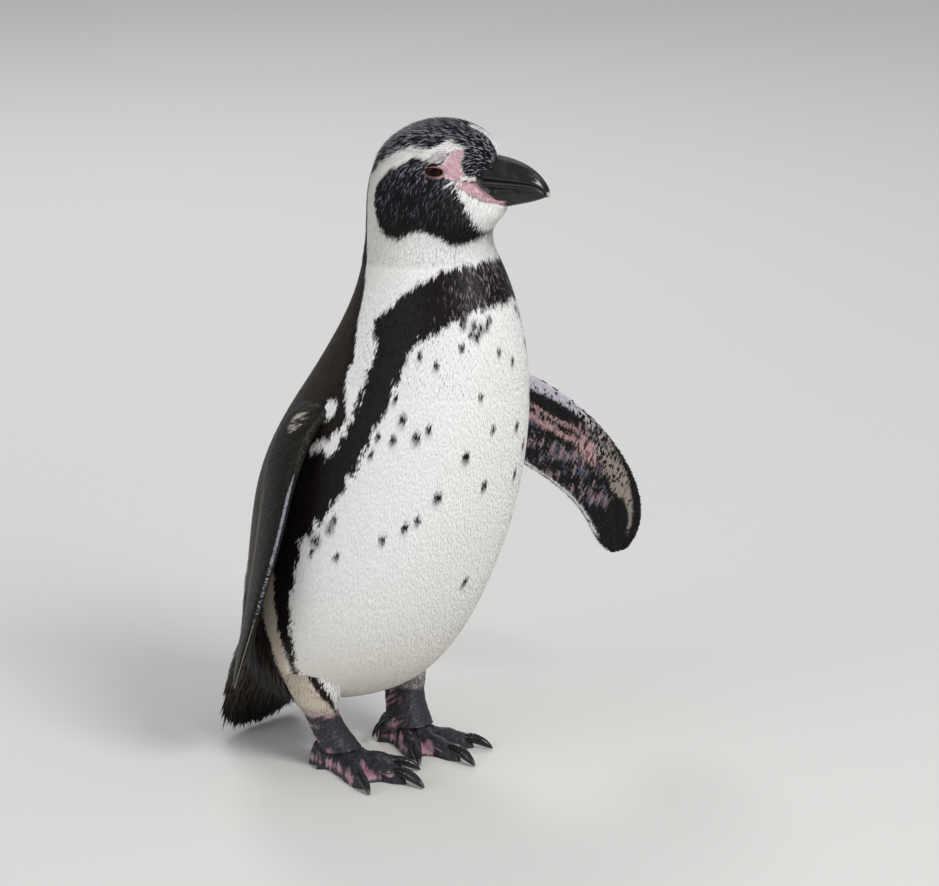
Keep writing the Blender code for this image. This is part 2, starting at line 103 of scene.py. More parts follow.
THIGH = (
    (-62, 112, 16, 90, 22, 0.5, 2.0), (-54, 92, 14, 74, 21, 0.5, 2.0), (-44, 74, 8, 62, 18.5, 0.5, 2.0),
    (-34, 60, 4, 52, 16, 0.5, 2.0), (-29, 54, 2, 48, 14.6, 0.5, 2.0),
)
TARSUS = (
    (-27, 62, 1, 58, 14.0, 0.5, 2.3), (-25, 49, 2, 45, 14.0, 0.5, 2.4), (-21, 36, 6, 34, 14.0, 0.5, 2.4),
    (-17, 25, 12, 26, 15.0, 0.5, 2.4), (-14, 14, 18, 18, 16.0, 0.5, 2.4),
)
ANKLE_FRONT = {"left": 7.0, "right": 0.0}
TOE_SHARE = (0.00, 0.22, 0.45, 0.65, 0.82, 0.94, 1.00)
TOE_HEIGHT = (19.0, 18.0, 15.5, 14.0, 13.5, 11.5, 8.0)
TOE_HALF = (11.5, 11.0, 9.0, 8.2, 7.8, 6.6, 4.6)
TOES = {"inner": (49, 29.0), "middle": (68, 0.0), "outer": (58, -31.0)}
HIND_TOE, HIND_LIFT, HIND_DROOP = (21, 104.0), 15.0, 42.0
CLAW_LENGTH = {"inner": 22, "middle": 26, "outer": 23, "hind": 13}
CLAW_SIZE = {"inner": 1.2, "middle": 1.4, "outer": 1.25, "hind": 0.62}
CLAW = (
    (-0.34, 8.4, -0.34, 3.2, 2.6, 0.5, 2.0), (0.00, 10.2, 0.00, 3.4, 3.3, 0.5, 2.0),
    (0.25, 10.2, 0.20, 3.2, 3.4, 0.5, 2.0), (0.50, 9.0, 0.42, 2.5, 3.1, 0.5, 2.0),
    (0.75, 6.7, 0.66, 1.6, 2.5, 0.5, 2.0), (0.93, 3.6, 0.86, 0.8, 1.5, 0.5, 2.0),
    (1.00, 1.4, 0.97, 0.5, 0.6, 0.5, 2.0),
)
CLAW_RINGS, RING_HEIGHT = 9, 0.08
EYE_AT, EYE_SIDE, EYE_RADIUS = (103.0, 509.0), 27.6, 8.4
SIDES = ("left", "right")
OWN = {"left": 1.0, "right": -1.0}
MM = 0.001


# ---------------------------------------------------------------- shapes

def spline(rows, at):
    """A uniform cubic B-spline with these rows as its control points, from the first row to the last."""
    rows = np.asarray(rows, float)
    held = np.vstack([2 * rows[0] - rows[1], rows, 2 * rows[-1] - rows[-2]])
    cell = np.clip(np.floor(at).astype(int), 0, len(rows) - 2)
    u = (at - cell)[:, None]
    weights = ((1 - u) ** 3, 3 * u**3 - 6 * u**2 + 4, -3 * u**3 + 3 * u**2 + 3 * u + 1, u**3)
    return sum(w * held[cell + k] for k, w in enumerate(weights)) / 6


def loft(rows, u, v, grow=0.0):
    """Forward, up, side of a superellipse section that runs from the upper edge (v = 0) to the lower (v = pi)."""
    row = spline(rows, u)
    upper, lower = row[:, 0:2], row[:, 2:4]
    across = lower - upper
    unit = across / np.maximum(np.linalg.norm(across, axis=1, keepdims=True), 1e-9)
    grow = np.broadcast_to(np.asarray(grow, float), u.shape)
    upper, lower = upper - grow[:, None] * unit, lower + grow[:, None] * unit
    half, widest, square = row[:, 4], row[:, 5], row[:, 6]
    cosine, sine = np.cos(v), np.sin(v)
    depth = np.clip((1 - np.sign(cosine) * np.abs(cosine) ** (2 / square)) / 2, 0, 1)
    depth = depth ** (np.log(widest) / math.log(0.5))
    side = np.sign(sine) * np.abs(sine) ** (2 / square) * np.maximum(half + grow, 0.2)
    plane = upper + depth[:, None] * (lower - upper)
    return np.column_stack([plane, side])


def smooth(low, high, value):
    """0 below low, 1 above high, and an S curve between."""
    share = np.clip((value - low) / (high - low), 0, 1)
    return share * share * (3 - 2 * share)


def turned(points, turn):
    """From forward, up, side to the world's axes, turned by these degrees about the neck's axis."""
    forward, up, side = points[:, 0], points[:, 1], points[:, 2]
    angle = np.radians(turn)
    ahead = forward - TURN_AXIS
    x = side * np.cos(angle) + ahead * np.sin(angle)
    y = -(TURN_AXIS + ahead * np.cos(angle) - side * np.sin(angle))
    return np.column_stack([x, y, up])


eye_low, eye_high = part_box("eye_right")
eye_table = turned(np.array([[*EYE_AT, -EYE_SIDE]]), HEAD_TURN)[0]
SHIFT = (np.array(eye_low) + np.array(eye_high)) / 2 / MM - eye_table


def body_own(u, v, grow=0.0):
    """The body's loft before the head turns, with the face narrowed towards the bill."""
    points = loft(BODY, u, v, grow)
    share = smooth(PINCH_FROM, PINCH_TO, points[:, 0])
    level = np.exp(-(((points[:, 1] - PINCH_HEIGHT) / PINCH_REACH) ** 2))
    points[:, 2] *= 1 - FACE_PINCH * share * level
    return points


def body(u, v, grow=0.0):
    """Trunk, neck and head. The rows twist to the left from the neck up."""
    return turned(body_own(u, v, grow), HEAD_TURN * smooth(TURN_FROM, TURN_TO, u)) + SHIFT


def on_skull(own):
    """From the head's forward, up, side to the world."""
    return turned(own, HEAD_TURN) + SHIFT


def upper_bill(u, v, grow=0.0):
    return on_skull(loft(UPPER_BILL, u, v, grow))


def lower_bill(u, v, grow=0.0):
    return on_skull(loft(LOWER_BILL, u, v, grow))


def tail(u, v, grow=0.0):
    return turned(loft(TAIL, u, v, grow), 0.0) + SHIFT


def world(vector):
    side, forward, up = vector
    return np.array([side, -forward, up], float)


def blade_axes(side):
    """Rows: the flipper's length, its front edge squared to the length, and its thickness."""
    along = world(FLIPPER_ALONG[side])
    along /= np.linalg.norm(along)
    front = world(FLIPPER_FRONT[side])
    front -= along * (along @ front)
    front /= np.linalg.norm(front)
    return np.array([along, front, np.cross(along, front)])


def flipper(side):
    def surface(u, v, grow=0.0):
        """The blade's loft, bowed in the middle, dipped into the body at the root and twisted towards the tip."""
        local = loft(FLIPPER, u, v, grow)
        along = local[:, 0]
        bow = FLIPPER_BOW[side] * np.sin(math.pi * np.clip(along / FLIPPER[-1][0], 0, 1))
        dip = FLIPPER_SINK[side] * np.clip(1 - along / SINK_LENGTH, 0, 1) ** 2
        dip = dip + ROOT_DIP * np.clip(1 - along / ROOT_DIP_LENGTH, 0, 1) ** 2
        local[:, 2] += -OWN[side] * (bow - dip)
        twist = np.radians(FLIPPER_TWIST[side]) * along / FLIPPER[-1][0]
        y, z = local[:, 1].copy(), local[:, 2].copy()
        local[:, 1] = y * np.cos(twist) - z * np.sin(twist)
        local[:, 2] = y * np.sin(twist) + z * np.cos(twist)
        return local @ blade_axes(side) + world(SHOULDER[side]) + SHIFT
    return surface


def leg(rows, side):
    def surface(u, v, grow=0.0):
        """A loft above the foot that leans outwards with height."""
        local = loft(rows, u, v, grow)
        out, forward = FEET[side]
        lean = OWN[side] * LEG_SPLAY * np.clip((local[:, 1] - SPLAY_FROM) / (SPLAY_TO - SPLAY_FROM), 0, 1)
        return np.column_stack([local[:, 2] + out + lean, -(local[:, 0] + forward), local[:, 1]]) + SHIFT
    return surface


def foot_turn(side, towards_middle):
    """Degrees from straight ahead to the bird's left."""
    return OWN[side] * (TOE_OUT[side] - towards_middle)


def on_foot(ahead, left, up, side, turn):
    """From along a toe, across it to the left, and up, to the world."""
    angle = math.radians(turn)
    out, forward = FEET[side]
    x = out + ahead * math.sin(angle) + left * math.cos(angle)
    y = -(forward + ahead * math.cos(angle) - left * math.sin(angle))
    return np.column_stack([x, y, up + 0 * x]) + SHIFT


def claw(side, toe):
    rows = np.array(CLAW)
    rows[:, [0, 2]] *= CLAW_LENGTH[toe]
    rows[:, [1, 3, 4]] *= CLAW_SIZE[toe]
    reach, degrees = HIND_TOE if toe == "hind" else TOES[toe]
    inset, lift, droop = (1.5, HIND_LIFT, math.radians(HIND_DROOP)) if toe == "hind" else (3.0, 0.0, 0.0)

    def surface(u, v, grow=0.0):
        """The claw's loft, with shallow growth rings that fade towards the tip."""
        share = u / (len(CLAW) - 1)
        ring = RING_HEIGHT * np.sin(2 * math.pi * share * CLAW_RINGS)
        ring = ring * smooth(0.08, 0.2, share) * (1 - smooth(0.35, 0.75, share))
        local = loft(rows, u, v, grow + ring - 0.1)
        ahead = local[:, 0] * math.cos(droop) + local[:, 1] * math.sin(droop)
        up = local[:, 1] * math.cos(droop) - local[:, 0] * math.sin(droop)
        return on_foot(ahead + reach - inset, local[:, 2], np.maximum(up + lift, 0.15), side,
                       foot_turn(side, degrees))
    return surface


# ---------------------------------------------------------------- meshes

def new_object(name, points, faces, colours=None, uv=None, normals=None):
    """A mesh object from arrays of points in millimetres and of triangles or quads."""
    mesh = bpy.data.meshes.new(name)
    mesh.vertices.add(len(points))
    mesh.vertices.foreach_set("co", (points * MM).astype(np.float32).ravel())
    mesh.loops.add(faces.size)
    mesh.loops.foreach_set("vertex_index", faces.astype(np.int32).ravel())
    mesh.polygons.add(len(faces))
    mesh.polygons.foreach_set("loop_start", np.arange(0, faces.size, faces.shape[1], dtype=np.int32))
    mesh.polygons.foreach_set("use_smooth", np.full(len(faces), True))
    if colours is not None:
        rgba = np.column_stack([colours, np.ones(len(points))])
        layer = mesh.attributes.new("tint", "FLOAT_COLOR", "POINT")
        layer.data.foreach_set("color", rgba.astype(np.float32).ravel())
    if uv is not None:
        layer = mesh.uv_layers.new(name="OFBake")
        layer.uv.foreach_set("vector", uv[faces.ravel()].astype(np.float32).ravel())
    mesh.update(calc_edges=True)
    mesh.validate(verbose=False)
    if normals is not None:
        mesh.normals_split_custom_set_from_vertices(normals.astype(np.float32).tolist())
    made = bpy.data.objects.new(name, mesh)
    bpy.context.scene.collection.objects.link(made)
    return made


def dress(piece, material, slot, *nodes):
    """Gives a piece its material and the nodes that it stands for, if any. slot is not used."""
    piece.data.materials.append(material)
    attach(piece, "root")
    if nodes:
        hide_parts(*nodes)


def around(count):
    """This many values of v, evenly spaced around a surface."""
    return np.linspace(0, 2 * math.pi, count + 1)[:-1]


def grid(surface, us, vs):
    """Points and triangles of a surface closed around v, with a pole at each end of u. Also each point's u and v."""
    u, v = (part.ravel() for part in np.meshgrid(us, vs, indexing="ij"))
    points = surface(u, v)
    ring = np.arange(len(vs))
    i, j = (part.ravel() for part in np.meshgrid(np.arange(len(us) - 1), ring, indexing="ij"))
    k, here, there = (j + 1) % len(vs), i * len(vs), (i + 1) * len(vs)
    end, following = ring + (len(us) - 1) * len(vs), np.roll(ring, -1)
    first, last = np.full(len(vs), len(points)), np.full(len(vs), len(points) + 1)
    quads = np.vstack([
        np.column_stack([here + j, here + k, there + k, there + j]),
        np.column_stack([first, following, ring, ring]),
        np.column_stack([last, end, np.roll(end, -1), np.roll(end, -1)]),
    ])
    points = np.vstack([points, points[:len(vs)].mean(0), points[-len(vs):].mean(0)])
    u, v = np.append(u, [us[0], us[-1]]), np.append(v, [0.0, 0.0])
    triangles = np.vstack([quads[:, [0, 1, 2]], quads[:, [0, 2, 3]]])
    a, b, c = triangles.T
    return points, facing_out(points, triangles[(a != b) & (b != c) & (a != c)]), u, v


def facing_out(points, triangles):
    """The triangles, all turned over if they enclose a negative volume."""
    a, b, c = (points[triangles[:, k]] - points.mean(0) for k in range(3))
    volume = np.einsum("ij,ij->i", a, np.cross(b, c)).sum()
    return triangles if volume > 0 else triangles[:, ::-1]


def joined(parts):
    """One set of arrays from several (points, triangles, colours)."""
    points, faces, colours = zip(*parts)
    starts = np.cumsum([0, *(len(these) for these in points[:-1])])
    faces = [triangles + start for triangles, start in zip(faces, starts)]
    return [np.vstack(arrays) for arrays in (points, faces, colours)]


# ---------------------------------------------------------------- colours and markings

def linear(code):
    """An sRGB hex colour as linear red, green, blue."""
    parts = np.array([int(code[k:k + 2], 16) for k in (1, 3, 5)]) / 255
    return np.where(parts <= 0.04045, parts / 12.92, ((parts + 0.055) / 1.055) ** 2.4)


WHITE = linear("#f3f3f1")
CREAM = linear("#e2d9c8")
BEIGE = linear("#cdbfab")
BACK_BROWN = linear("#2c221b")
BAND_BLACK = linear("#171211")
CAP_BLACK = linear("#110f12")
# Painted highlights: the greys of glints on single black feathers of the crown and the cheeks.
CAP_GLINT_GREY = linear("#8a8692")
CHEEK_GLINT_GREY = linear("#66626c")
CHEST_GREY = linear("#7f7a79")
SMEAR_GREY = linear("#85868a")
PINK = linear("#c8a1ab")
PINK_DEEP = linear("#ad7f8b")
LID_GREY = linear("#a9979c")
LEG_BLACK = linear("#1e1d24")
LEG_PINK = linear("#b98f9b")
LEG_GREY = linear("#565c6c")
ANKLE_GREY = linear("#8d8a8d")
ORANGE = linear("#b98a5e")

# Markings of the body as closed lines of (degrees from the front middle, row), the same on both sides.
BAND = (
    (-30, 12.70), (0, 12.76), (31, 12.78), (45, 12.70), (55.5, 12.67), (64, 12.47), (73.7, 12.15), (83, 11.89),
    (90, 11.45), (97, 11.12), (94.8, 10.73), (91, 10.51), (90.2, 10.14), (90.2, 9.66), (90.5, 9.2), (91, 8.44),
    (92.3, 8.33), (91.7, 8.09), (93.8, 7.93), (99, 7.95), (106, 7.8), (112, 7.2), (112, 6.0), (108, 5.3),
    (104.9, 5.07), (97.9, 4.48), (88.4, 3.91), (75.8, 3.44), (58.8, 2.75), (37.4, 2.31), (53.9, 2.88),
    (72.7, 3.62), (86.1, 4.49), (92.3, 5.12), (91.7, 5.54), (94.3, 6.11), (90.2, 6.48), (87.6, 6.98),
    (84.3, 7.48), (80.5, 8.26), (79.5, 8.72), (76.5, 9.04), (75.5, 9.46), (73, 9.79), (70.6, 10.26),
    (69.3, 10.54), (58.8, 10.74), (51.6, 10.94), (43.9, 11.07), (35.4, 11.20), (26.4, 11.32), (15.8, 11.42),
    (3.5, 11.40), (-30, 11.30),
)
BACK = (
    (42, 2.0), (47.7, 2.08), (66, 2.58), (85, 3.24), (97.1, 3.72), (108.5, 4.22), (111, 4.63), (107.5, 5.08),
    (106, 5.4), (106, 7.8), (103.8, 8.06), (96.9, 8.25), (94.3, 8.55), (93.3, 8.72), (97, 9.1), (102.5, 9.51),
    (101.3, 10.04), (108.7, 10.65), (113.6, 11.21), (123.6, 12.19), (133.9, 13.03), (140.1, 13.37), (150, 14.0),
    (156, 15.36), (158, 16.2), (230, 16.2), (230, -1.0), (55, -1.0),
)
SHOULDER_PATCH = ((104.6, 8.55), (107.7, 8.71), (107.2, 8.88), (105.1, 9.07), (100.2, 8.93), (101.3, 8.62))
# Markings of the head as closed lines of (forward, up).
HEAD_DARK = (
    (53.6, 476), (58.8, 462), (69.8, 454), (79.6, 453), (86.8, 458), (95.4, 461), (103.7, 460), (113, 456),
    (121, 450.4), (129.6, 450), (135, 452), (138.4, 454), (150, 455), (200, 455), (200, 570), (0, 570), (0, 476),
)
BROW = (
    (60, 425), (53.4, 430), (45, 452), (41.5, 470), (40.8, 485.3), (42, 494), (50.4, 503.9), (55.9, 510),
    (64.6, 516.7), (73.6, 522.5), (84.6, 527.5), (95.5, 525), (105, 528), (112.3, 533.0), (119.0, 530.4),
    (125.3, 527.0), (124.3, 524.5), (117.9, 524.5), (113.5, 521.9), (109.5, 516.5), (103.6, 513.7), (96.5, 517.7),
    (87.5, 519.8), (79.3, 513.5), (67.9, 508.7), (59, 500.5), (55.1, 493.5), (52.7, 489), (53.6, 476.4),
    (57.3, 462.7), (62, 450), (66, 425),
)
FAR_BROW = (
    (122, 542), (131, 538), (136.6, 535.0), (141.1, 531), (147, 525), (146, 518), (140, 517), (134, 523), (124, 529),
)
FAR_BROW_SIDES = (-2.0, 9.0)
LORE = (
    (115.6, 524.7), (117.9, 526.5), (124.3, 525.5), (125.3, 521.7), (123.6, 516.6), (123.0, 513.4), (124.1, 509.3),
    (126.0, 504.8), (127.3, 502.6), (124.8, 500.6), (119.9, 499.9), (116.9, 501.7), (112.5, 503.8), (110.4, 508.3),
    (109.6, 515.1), (111.9, 518.4), (114.5, 521.9),
)
CHIN = (
    (118.4, 495.4), (124.2, 487.6), (127.6, 479.5), (131.9, 471.3), (136.4, 464.7), (140, 457.2), (146, 458),
    (158, 470), (162, 482), (154.3, 479.0), (150.5, 480.2), (143.5, 481.9), (137.6, 484.0), (131.8, 487.2),
    (126.1, 490.7), (121.7, 494.2), (118.7, 497.7),
)
JAW = (
    (121.5, 500.2), (124.9, 500.9), (131.7, 498.4), (134.7, 495.1), (138.6, 491.1), (142.7, 488.2), (148.3, 485.8),
    (153, 483.8), (155, 479.5), (150.5, 480.6), (143.5, 482.3), (137.6, 484.4), (131.8, 487.8), (126.1, 491.4),
    (121.7, 494.9), (118.7, 498.0),
)
JAW_SEAM = (
    (117, 497), (121.5, 499.4), (124.9, 500.1), (131.7, 497.6), (134.7, 494.3), (138.6, 490.3), (142.7, 487.4),
    (148.3, 485.0), (153, 483.0),
)
# Belly spots: degrees from the front middle (right is minus), row, and half-height in millimetres.
SPOTS = (
    (-36.5, 10.52, 3.6), (-8.5, 10.32, 3.4), (2.5, 10.06, 3.4), (-63, 10.34, 3.6), (-52, 10.14, 3.8),
    (-20.5, 9.50, 3.4), (-72.5, 9.38, 3.6), (-66, 9.02, 5.2), (-76.5, 8.60, 3.8), (-68, 8.62, 4.6),
    (-56, 8.74, 5.6), (-50, 8.90, 4.6), (-9, 8.86, 4.0), (9, 8.78, 4.6), (-77, 8.26, 4.2), (-24.5, 8.44, 5.4),
    (-8.5, 7.90, 5.2), (-36, 7.76, 5.6), (-83.5, 6.90, 4.4), (-49, 7.20, 4.8), (-43.5, 7.34, 4.2),
    (-58, 6.90, 4.2), (-88, 6.12, 3.4), (-76.5, 6.30, 3.8), (-2.5, 6.20, 5.4), (14, 7.9, 4.6), (21, 8.35, 5.0),
    (30, 9.2, 4.2), (43, 9.6, 3.8), (55, 8.9, 4.8), (36, 7.5, 5.0), (63, 9.7, 4.0), (70, 8.4, 4.6), (48, 8.1, 4.4),
    (61, 7.4, 4.0), (26, 10.3, 3.6), (50, 10.3, 3.4), (74, 7.0, 4.2), (82, 6.3, 3.6), (40, 6.5, 4.2),
)
# Smudges below the breast band.
SMUDGES = (
    (-36, 11.04, 4.5), (-28.5, 11.0, 4.0), (-23, 10.88, 4.6), (-16, 11.05, 4.2), (-26, 10.72, 4.2),
    (-18.5, 10.9, 3.6), (-30.5, 10.8, 3.4), (-72, 10.2, 4.4), (-76, 9.9, 3.4), (24, 11.0, 4.2), (33, 10.85, 4.4),
    (18, 11.15, 4.0), (-88, 6.35, 4.2), (-84, 6.7, 3.6), (86, 6.4, 4.0),
)
# The mouth's corner, the lines behind it and in front of it, and the thinly feathered skin above the eye.
CORNER = (129.5, 501.0)
RICTUS = ((112.4, 495.0), (116.2, 498.2), (119.8, 499.4), (119.5, 500.4), (115.8, 499.9), (112.0, 496.6))
CREASE = ((119.5, 500.0), (124.9, 500.6), (129.0, 499.7), (132.5, 498.2), (136, 497.3))
OVER_EYE = ((94, 514), (101, 522), (108, 526), (114, 524), (110, 511), (104, 506), (96, 508))
# How far forward the feathers of the face reach, as lines of (up, forward).
BILL_BASE = (
    (470, 165), (478, 150), (484, 138), (492, 128), (499, 129), (502, 136), (507, 140), (513, 144), (519, 149),
    (523, 170),
)
DEGREE_MM, ROW_MM = 1.3, 25.0  # roughly, over the breast
HEAD_ROW, FACE_ROW = 13.6, 14  # the head's marks and its skin start at these rows


def on_line(at, line):
    """The second value along a line of pairs, where the first is at."""
    return np.interp(at, *zip(*line))


def from_spot(place, angle, row):
    """Distances across and along the lie from a spot of the body, in millimetres."""
    centre, above = body(np.array([row, row + 0.02]), np.radians([180.0 - angle] * 2))
    way = (above - centre) / np.linalg.norm(above - centre)
    along = (place - centre) @ way
    return np.linalg.norm(place - centre - along[:, None] * way, axis=1), along


def inside(x, y, outline):
    """Signed distance to a closed line of points: plus inside, minus outside."""
    corners = np.asarray(outline, float)
    nearest = np.full(x.shape, 1e9)
    crossings = np.zeros(x.shape, bool)
    for (ax, ay), (bx, by) in zip(corners, np.roll(corners, -1, axis=0)):
        dx, dy = bx - ax, by - ay
        share = np.clip(((x - ax) * dx + (y - ay) * dy) / (dx * dx + dy * dy + 1e-12), 0, 1)
        nearest = np.minimum(nearest, np.hypot(x - ax - share * dx, y - ay - share * dy))
        if ay != by:
            crossings ^= ((ay > y) != (by > y)) & (x < (bx - ax) * (y - ay) / (by - ay) + ax)
    return np.where(crossings, nearest, -nearest)


def on_coat(a, u, outline):
    scaled = np.asarray(outline, float) * (DEGREE_MM, ROW_MM)
    return inside(a * DEGREE_MM, u * ROW_MM, scaled)


def ripple(points, size, seed):
    """Smooth noise of about -1 to 1 in blobs of this size: sines along eight fixed directions."""
    random = np.random.default_rng(seed)
    total = np.zeros(len(points))
    for _ in range(8):
        way = random.normal(size=3)
        way *= 2 * math.pi / (size * np.linalg.norm(way)) * random.uniform(0.7, 1.5)
        total += np.sin(points @ way + random.uniform(0, 6.3))
    return total / 3.2


def mix(a, b, share):
    share = np.asarray(share)[:, None]
    return np.asarray(a) * (1 - share) + np.asarray(b) * share


def coat_marks(u, v, loose):
    """What grows at a place on the body: how dark it is, how bare, the head's own coordinates, how far it is inside
    the back, how smudged it is, and its degrees from the front middle.

    loose is a random number of -1 to 1 for each place, which frays the edges by a feather or two.
    """
    own = body_own(u, v)
    forward, up, side = own[:, 0], own[:, 1], own[:, 2]
    a = 180 - np.degrees(v % (2 * math.pi))
    wide = np.abs(a)
    place = body(u, v)
    frayed = 1.2 * ripple(place, 13.0, 3) + 1.0 * ripple(place, 4.5, 4) + 1.1 * loose
    band = on_coat(wide, u, BAND) + frayed
    back = on_coat(wide, u, BACK) + 0.7 * frayed
    patch = on_coat(wide, u, SHOULDER_PATCH) + 0.7 * frayed
    back = np.where(a < 0, np.minimum(back, -patch), back)
    spots = np.full(u.shape, -99.0)
    smear = np.zeros(u.shape)
    for angle, row, size in SPOTS:
        across, along = from_spot(place, angle, row)
        spots = np.maximum(spots, 0.62 * size - np.hypot(across, along * 0.74) + 0.6 * loose)
        smear = np.maximum(smear, smooth(1.15, 0.3, np.hypot(across * 1.1, (along + 0.5 * size) * 0.7) / size))
    for angle, row, size in SMUDGES:
        across, along = (a - angle) * DEGREE_MM, (u - row) * ROW_MM
        spots = np.maximum(spots, 0.42 * size - np.hypot(across, along) + 0.5 * frayed + 0.8 * loose)
        smear = np.maximum(smear, 1.7 * smooth(1.3, 0.3, np.hypot(across, along) / size))
    fine = 0.5 * ripple(place, 4.0, 5) + 0.8 * loose
    cheek = inside(forward, up, HEAD_DARK) + 0.7 * ripple(place, 6.0, 6) + 1.2 * loose
    brow = inside(forward, up, BROW) + fine
    between = np.minimum.reduce([inside(forward, up, FAR_BROW), side - FAR_BROW_SIDES[0], FAR_BROW_SIDES[1] - side])
    far = np.where(side < 15, between + fine, -9.0)
    chin = inside(forward, up, CHIN) + 1.8 * loose + ripple(place * (0.35, 0.35, 1.0), 4.0, 8)
    rictus = inside(forward, up, RICTUS)
    corner = 2.2 - np.hypot((forward - CORNER[0]) / 1.6, up - CORNER[1])
    lore = np.maximum.reduce([inside(forward, up, LORE) + 0.4 * fine, rictus, corner + 0.5 * fine])
    jaw = inside(forward, up, JAW) + 0.3 * fine
    nape = np.where(up < 500, back, -9.0)
    head = np.minimum(cheek, -np.maximum.reduce([brow, far, chin, lore, jaw]))
    on_head = u > HEAD_ROW
    dark = np.where(on_head, np.maximum(head, nape), np.maximum.reduce([band, back, spots]))
    bare = np.where(on_head, np.maximum(lore, jaw), -9.0)
    return dark, bare, own, back, smear * ~on_head, wide


def coat_colour(u, v, loose, tone):
    """Colour of the plumage at places on the body. tone is a second random number for each place."""
    dark, bare, own, back, smear, wide = coat_marks(u, v, loose)
    forward, up = own[:, 0], own[:, 1]
    # Towards the bottom of the belly the white turns cream, as painted shade with warm reflected light. Behind the
    # neck it turns cream too.
    cream = 0.5 * smooth(190, 70, up) + 0.45 * smooth(395, 440, up) * smooth(110, 60, forward)
    white = mix(WHITE, CREAM, np.clip(cream, 0, 0.9))
    flank_line = np.interp(u, (2, 3.2, 5.4), (34, 72, 95))
    white = mix(white, BEIGE, 0.9 * smooth(5.6, 5.2, u) * smooth(0, 6, wide - flank_line))
    white = white * (1 + 0.03 * tone[:, None])
    white = mix(white, SMEAR_GREY, 0.5 * smear)
    black = mix(BAND_BLACK, BACK_BROWN, smooth(0, 10, back) * smooth(470, 380, up + 8 * loose))
    black = mix(black, CAP_BLACK, smooth(440, 465, up))
    pale_front = smooth(72, 18, wide) * smooth(10.6, 11.3, u) * smooth(13.4, 12.6, u)
    # Grey vanes: paler feathers at the front of the breast band, and on the cheeks and crown grey strands that are
    # painted glints, the shine of single black feathers.
    grey_from = np.interp(up, (480, 505, 520), (0.74, 0.62, 0.3))
    pale = np.maximum(0.6 * smooth(1.0 - 0.55 * pale_front, 1.2 - 0.55 * pale_front, tone),
                      smooth(450, 490, up) * smooth(grey_from, grey_from + 0.2, tone))
    grey = mix(CHEST_GREY, mix(CHEEK_GLINT_GREY, CAP_GLINT_GREY, smooth(490, 515, up)), smooth(440, 465, up))
    black = mix(black, grey, pale)
    rump = smooth(3.6, 2.4, u) * smooth(70, 100, wide)
    black = mix(black, linear("#6b6055"), 0.8 * rump * smooth(0.1, 0.8, tone))
    black = black * (1 + 0.35 * loose[:, None])
    share = smooth(-0.5, 0.5, dark)
    colour = mix(white, black, share)
    over_eye = smooth(-2, 3, inside(forward, up, OVER_EYE)) * (1 - share) * (u > FACE_ROW)
    return mix(colour, LID_GREY * (1 + 0.3 * tone[:, None]), over_eye * (0.45 + 0.4 * (loose < 0.2)))


# ---------------------------------------------------------------- feathers

GOLDEN = (0.7548776662, 0.5698402910)  # steps of the two-way golden ratio


def scatter(surface, low, high, spacing, seed, cells=(160, 160)):
    """Places spread evenly over a surface: a two-way golden-ratio sequence laid out by area."""
    us = np.linspace(low[0], high[0], cells[0] + 1)
    vs = np.linspace(low[1], high[1], cells[1] + 1)
    u, v = (part.ravel() for part in np.meshgrid(us, vs, indexing="ij"))
    points = surface(u, v).reshape(len(us), len(vs), 3)
    one, two = np.diff(points, axis=0)[:, :-1], np.diff(points, axis=1)[:-1]
    area = np.linalg.norm(np.cross(one, two), axis=2)
    count = int(area.sum() / (spacing * spacing * 0.87))
    step = np.arange(count) + 0.5 + 100 * seed
    first, second = (step * GOLDEN[0]) % 1, (step * GOLDEN[1]) % 1
    rows = np.append(0, np.cumsum(area.sum(1))) / area.sum()
    u_at = np.interp(first, rows, us)
    row = np.clip(np.searchsorted(rows, first, side="right") - 1, 0, cells[0] - 1)
    along = np.cumsum(area, axis=1) / np.maximum(area.sum(1, keepdims=True), 1e-9)
    flat = (along + np.arange(cells[0])[:, None]).ravel()
    cell = np.searchsorted(flat, row + second * 0.999999)
    cell = np.clip(cell - row * cells[1], 0, cells[1] - 1)
    before = np.where(cell > 0, along[row, np.maximum(cell - 1, 0)], 0)
    share = np.clip((second - before) / np.maximum(along[row, cell] - before, 1e-9), 0, 1)
    v_at = vs[cell] + share * (vs[1] - vs[0])
    return u_at, v_at


# A vane's triangles, and its patch in the OFBake map: its size, its points, and the share and edge of the map used.
VANE = np.array([(0, 1, 4), (0, 4, 3), (1, 2, 5), (1, 5, 4), (2, 0, 3), (2, 3, 5), (3, 4, 6), (4, 5, 6),
                 (5, 3, 6), (0, 2, 1)])
PATCH, PATCH_POINTS = 0.003, np.array([(0, 0), (0.0, 0.5), (0, 1), (0.5, 0), (0.5, 0.5), (0.5, 1), (1, 0.5)])
MAP_SHARE, MAP_EDGE = 0.99, 0.0035


def vanes(root, middle, tip, out, width, ridge, lean, stray):
    """Thin closed vanes of seven points each: a three-point section at the root and the middle, and a tip.

    Normals lean outwards by lean on both edges, and by stray (one number for each vane) to one side.
    """
    along = tip - root
    along /= np.maximum(np.linalg.norm(along, axis=1, keepdims=True), 1e-9)
    across = np.cross(out, along)
    across /= np.maximum(np.linalg.norm(across, axis=1, keepdims=True), 1e-9)
    out = np.cross(along, across)
    half, high = (width / 2)[:, None], (ridge * width)[:, None]
    points = np.stack([
        root + across * half * 0.5, root + out * high, root - across * half * 0.5,
        middle + across * half, middle + out * high, middle - across * half, tip], axis=1)
    lean = np.broadcast_to(np.asarray(lean, float), (len(root), 1, 1))[:, 0]
    turn = stray[:, None] * across + 0.5 * np.roll(stray, 7)[:, None] * along
    normals = np.stack([
        out + across * lean + turn, out + turn, out - across * lean + turn,
        out + across * lean + turn, out + turn, out - across * lean + turn, out + 0.15 * along + turn], axis=1)
    return points, normals / np.linalg.norm(normals, axis=2, keepdims=True)


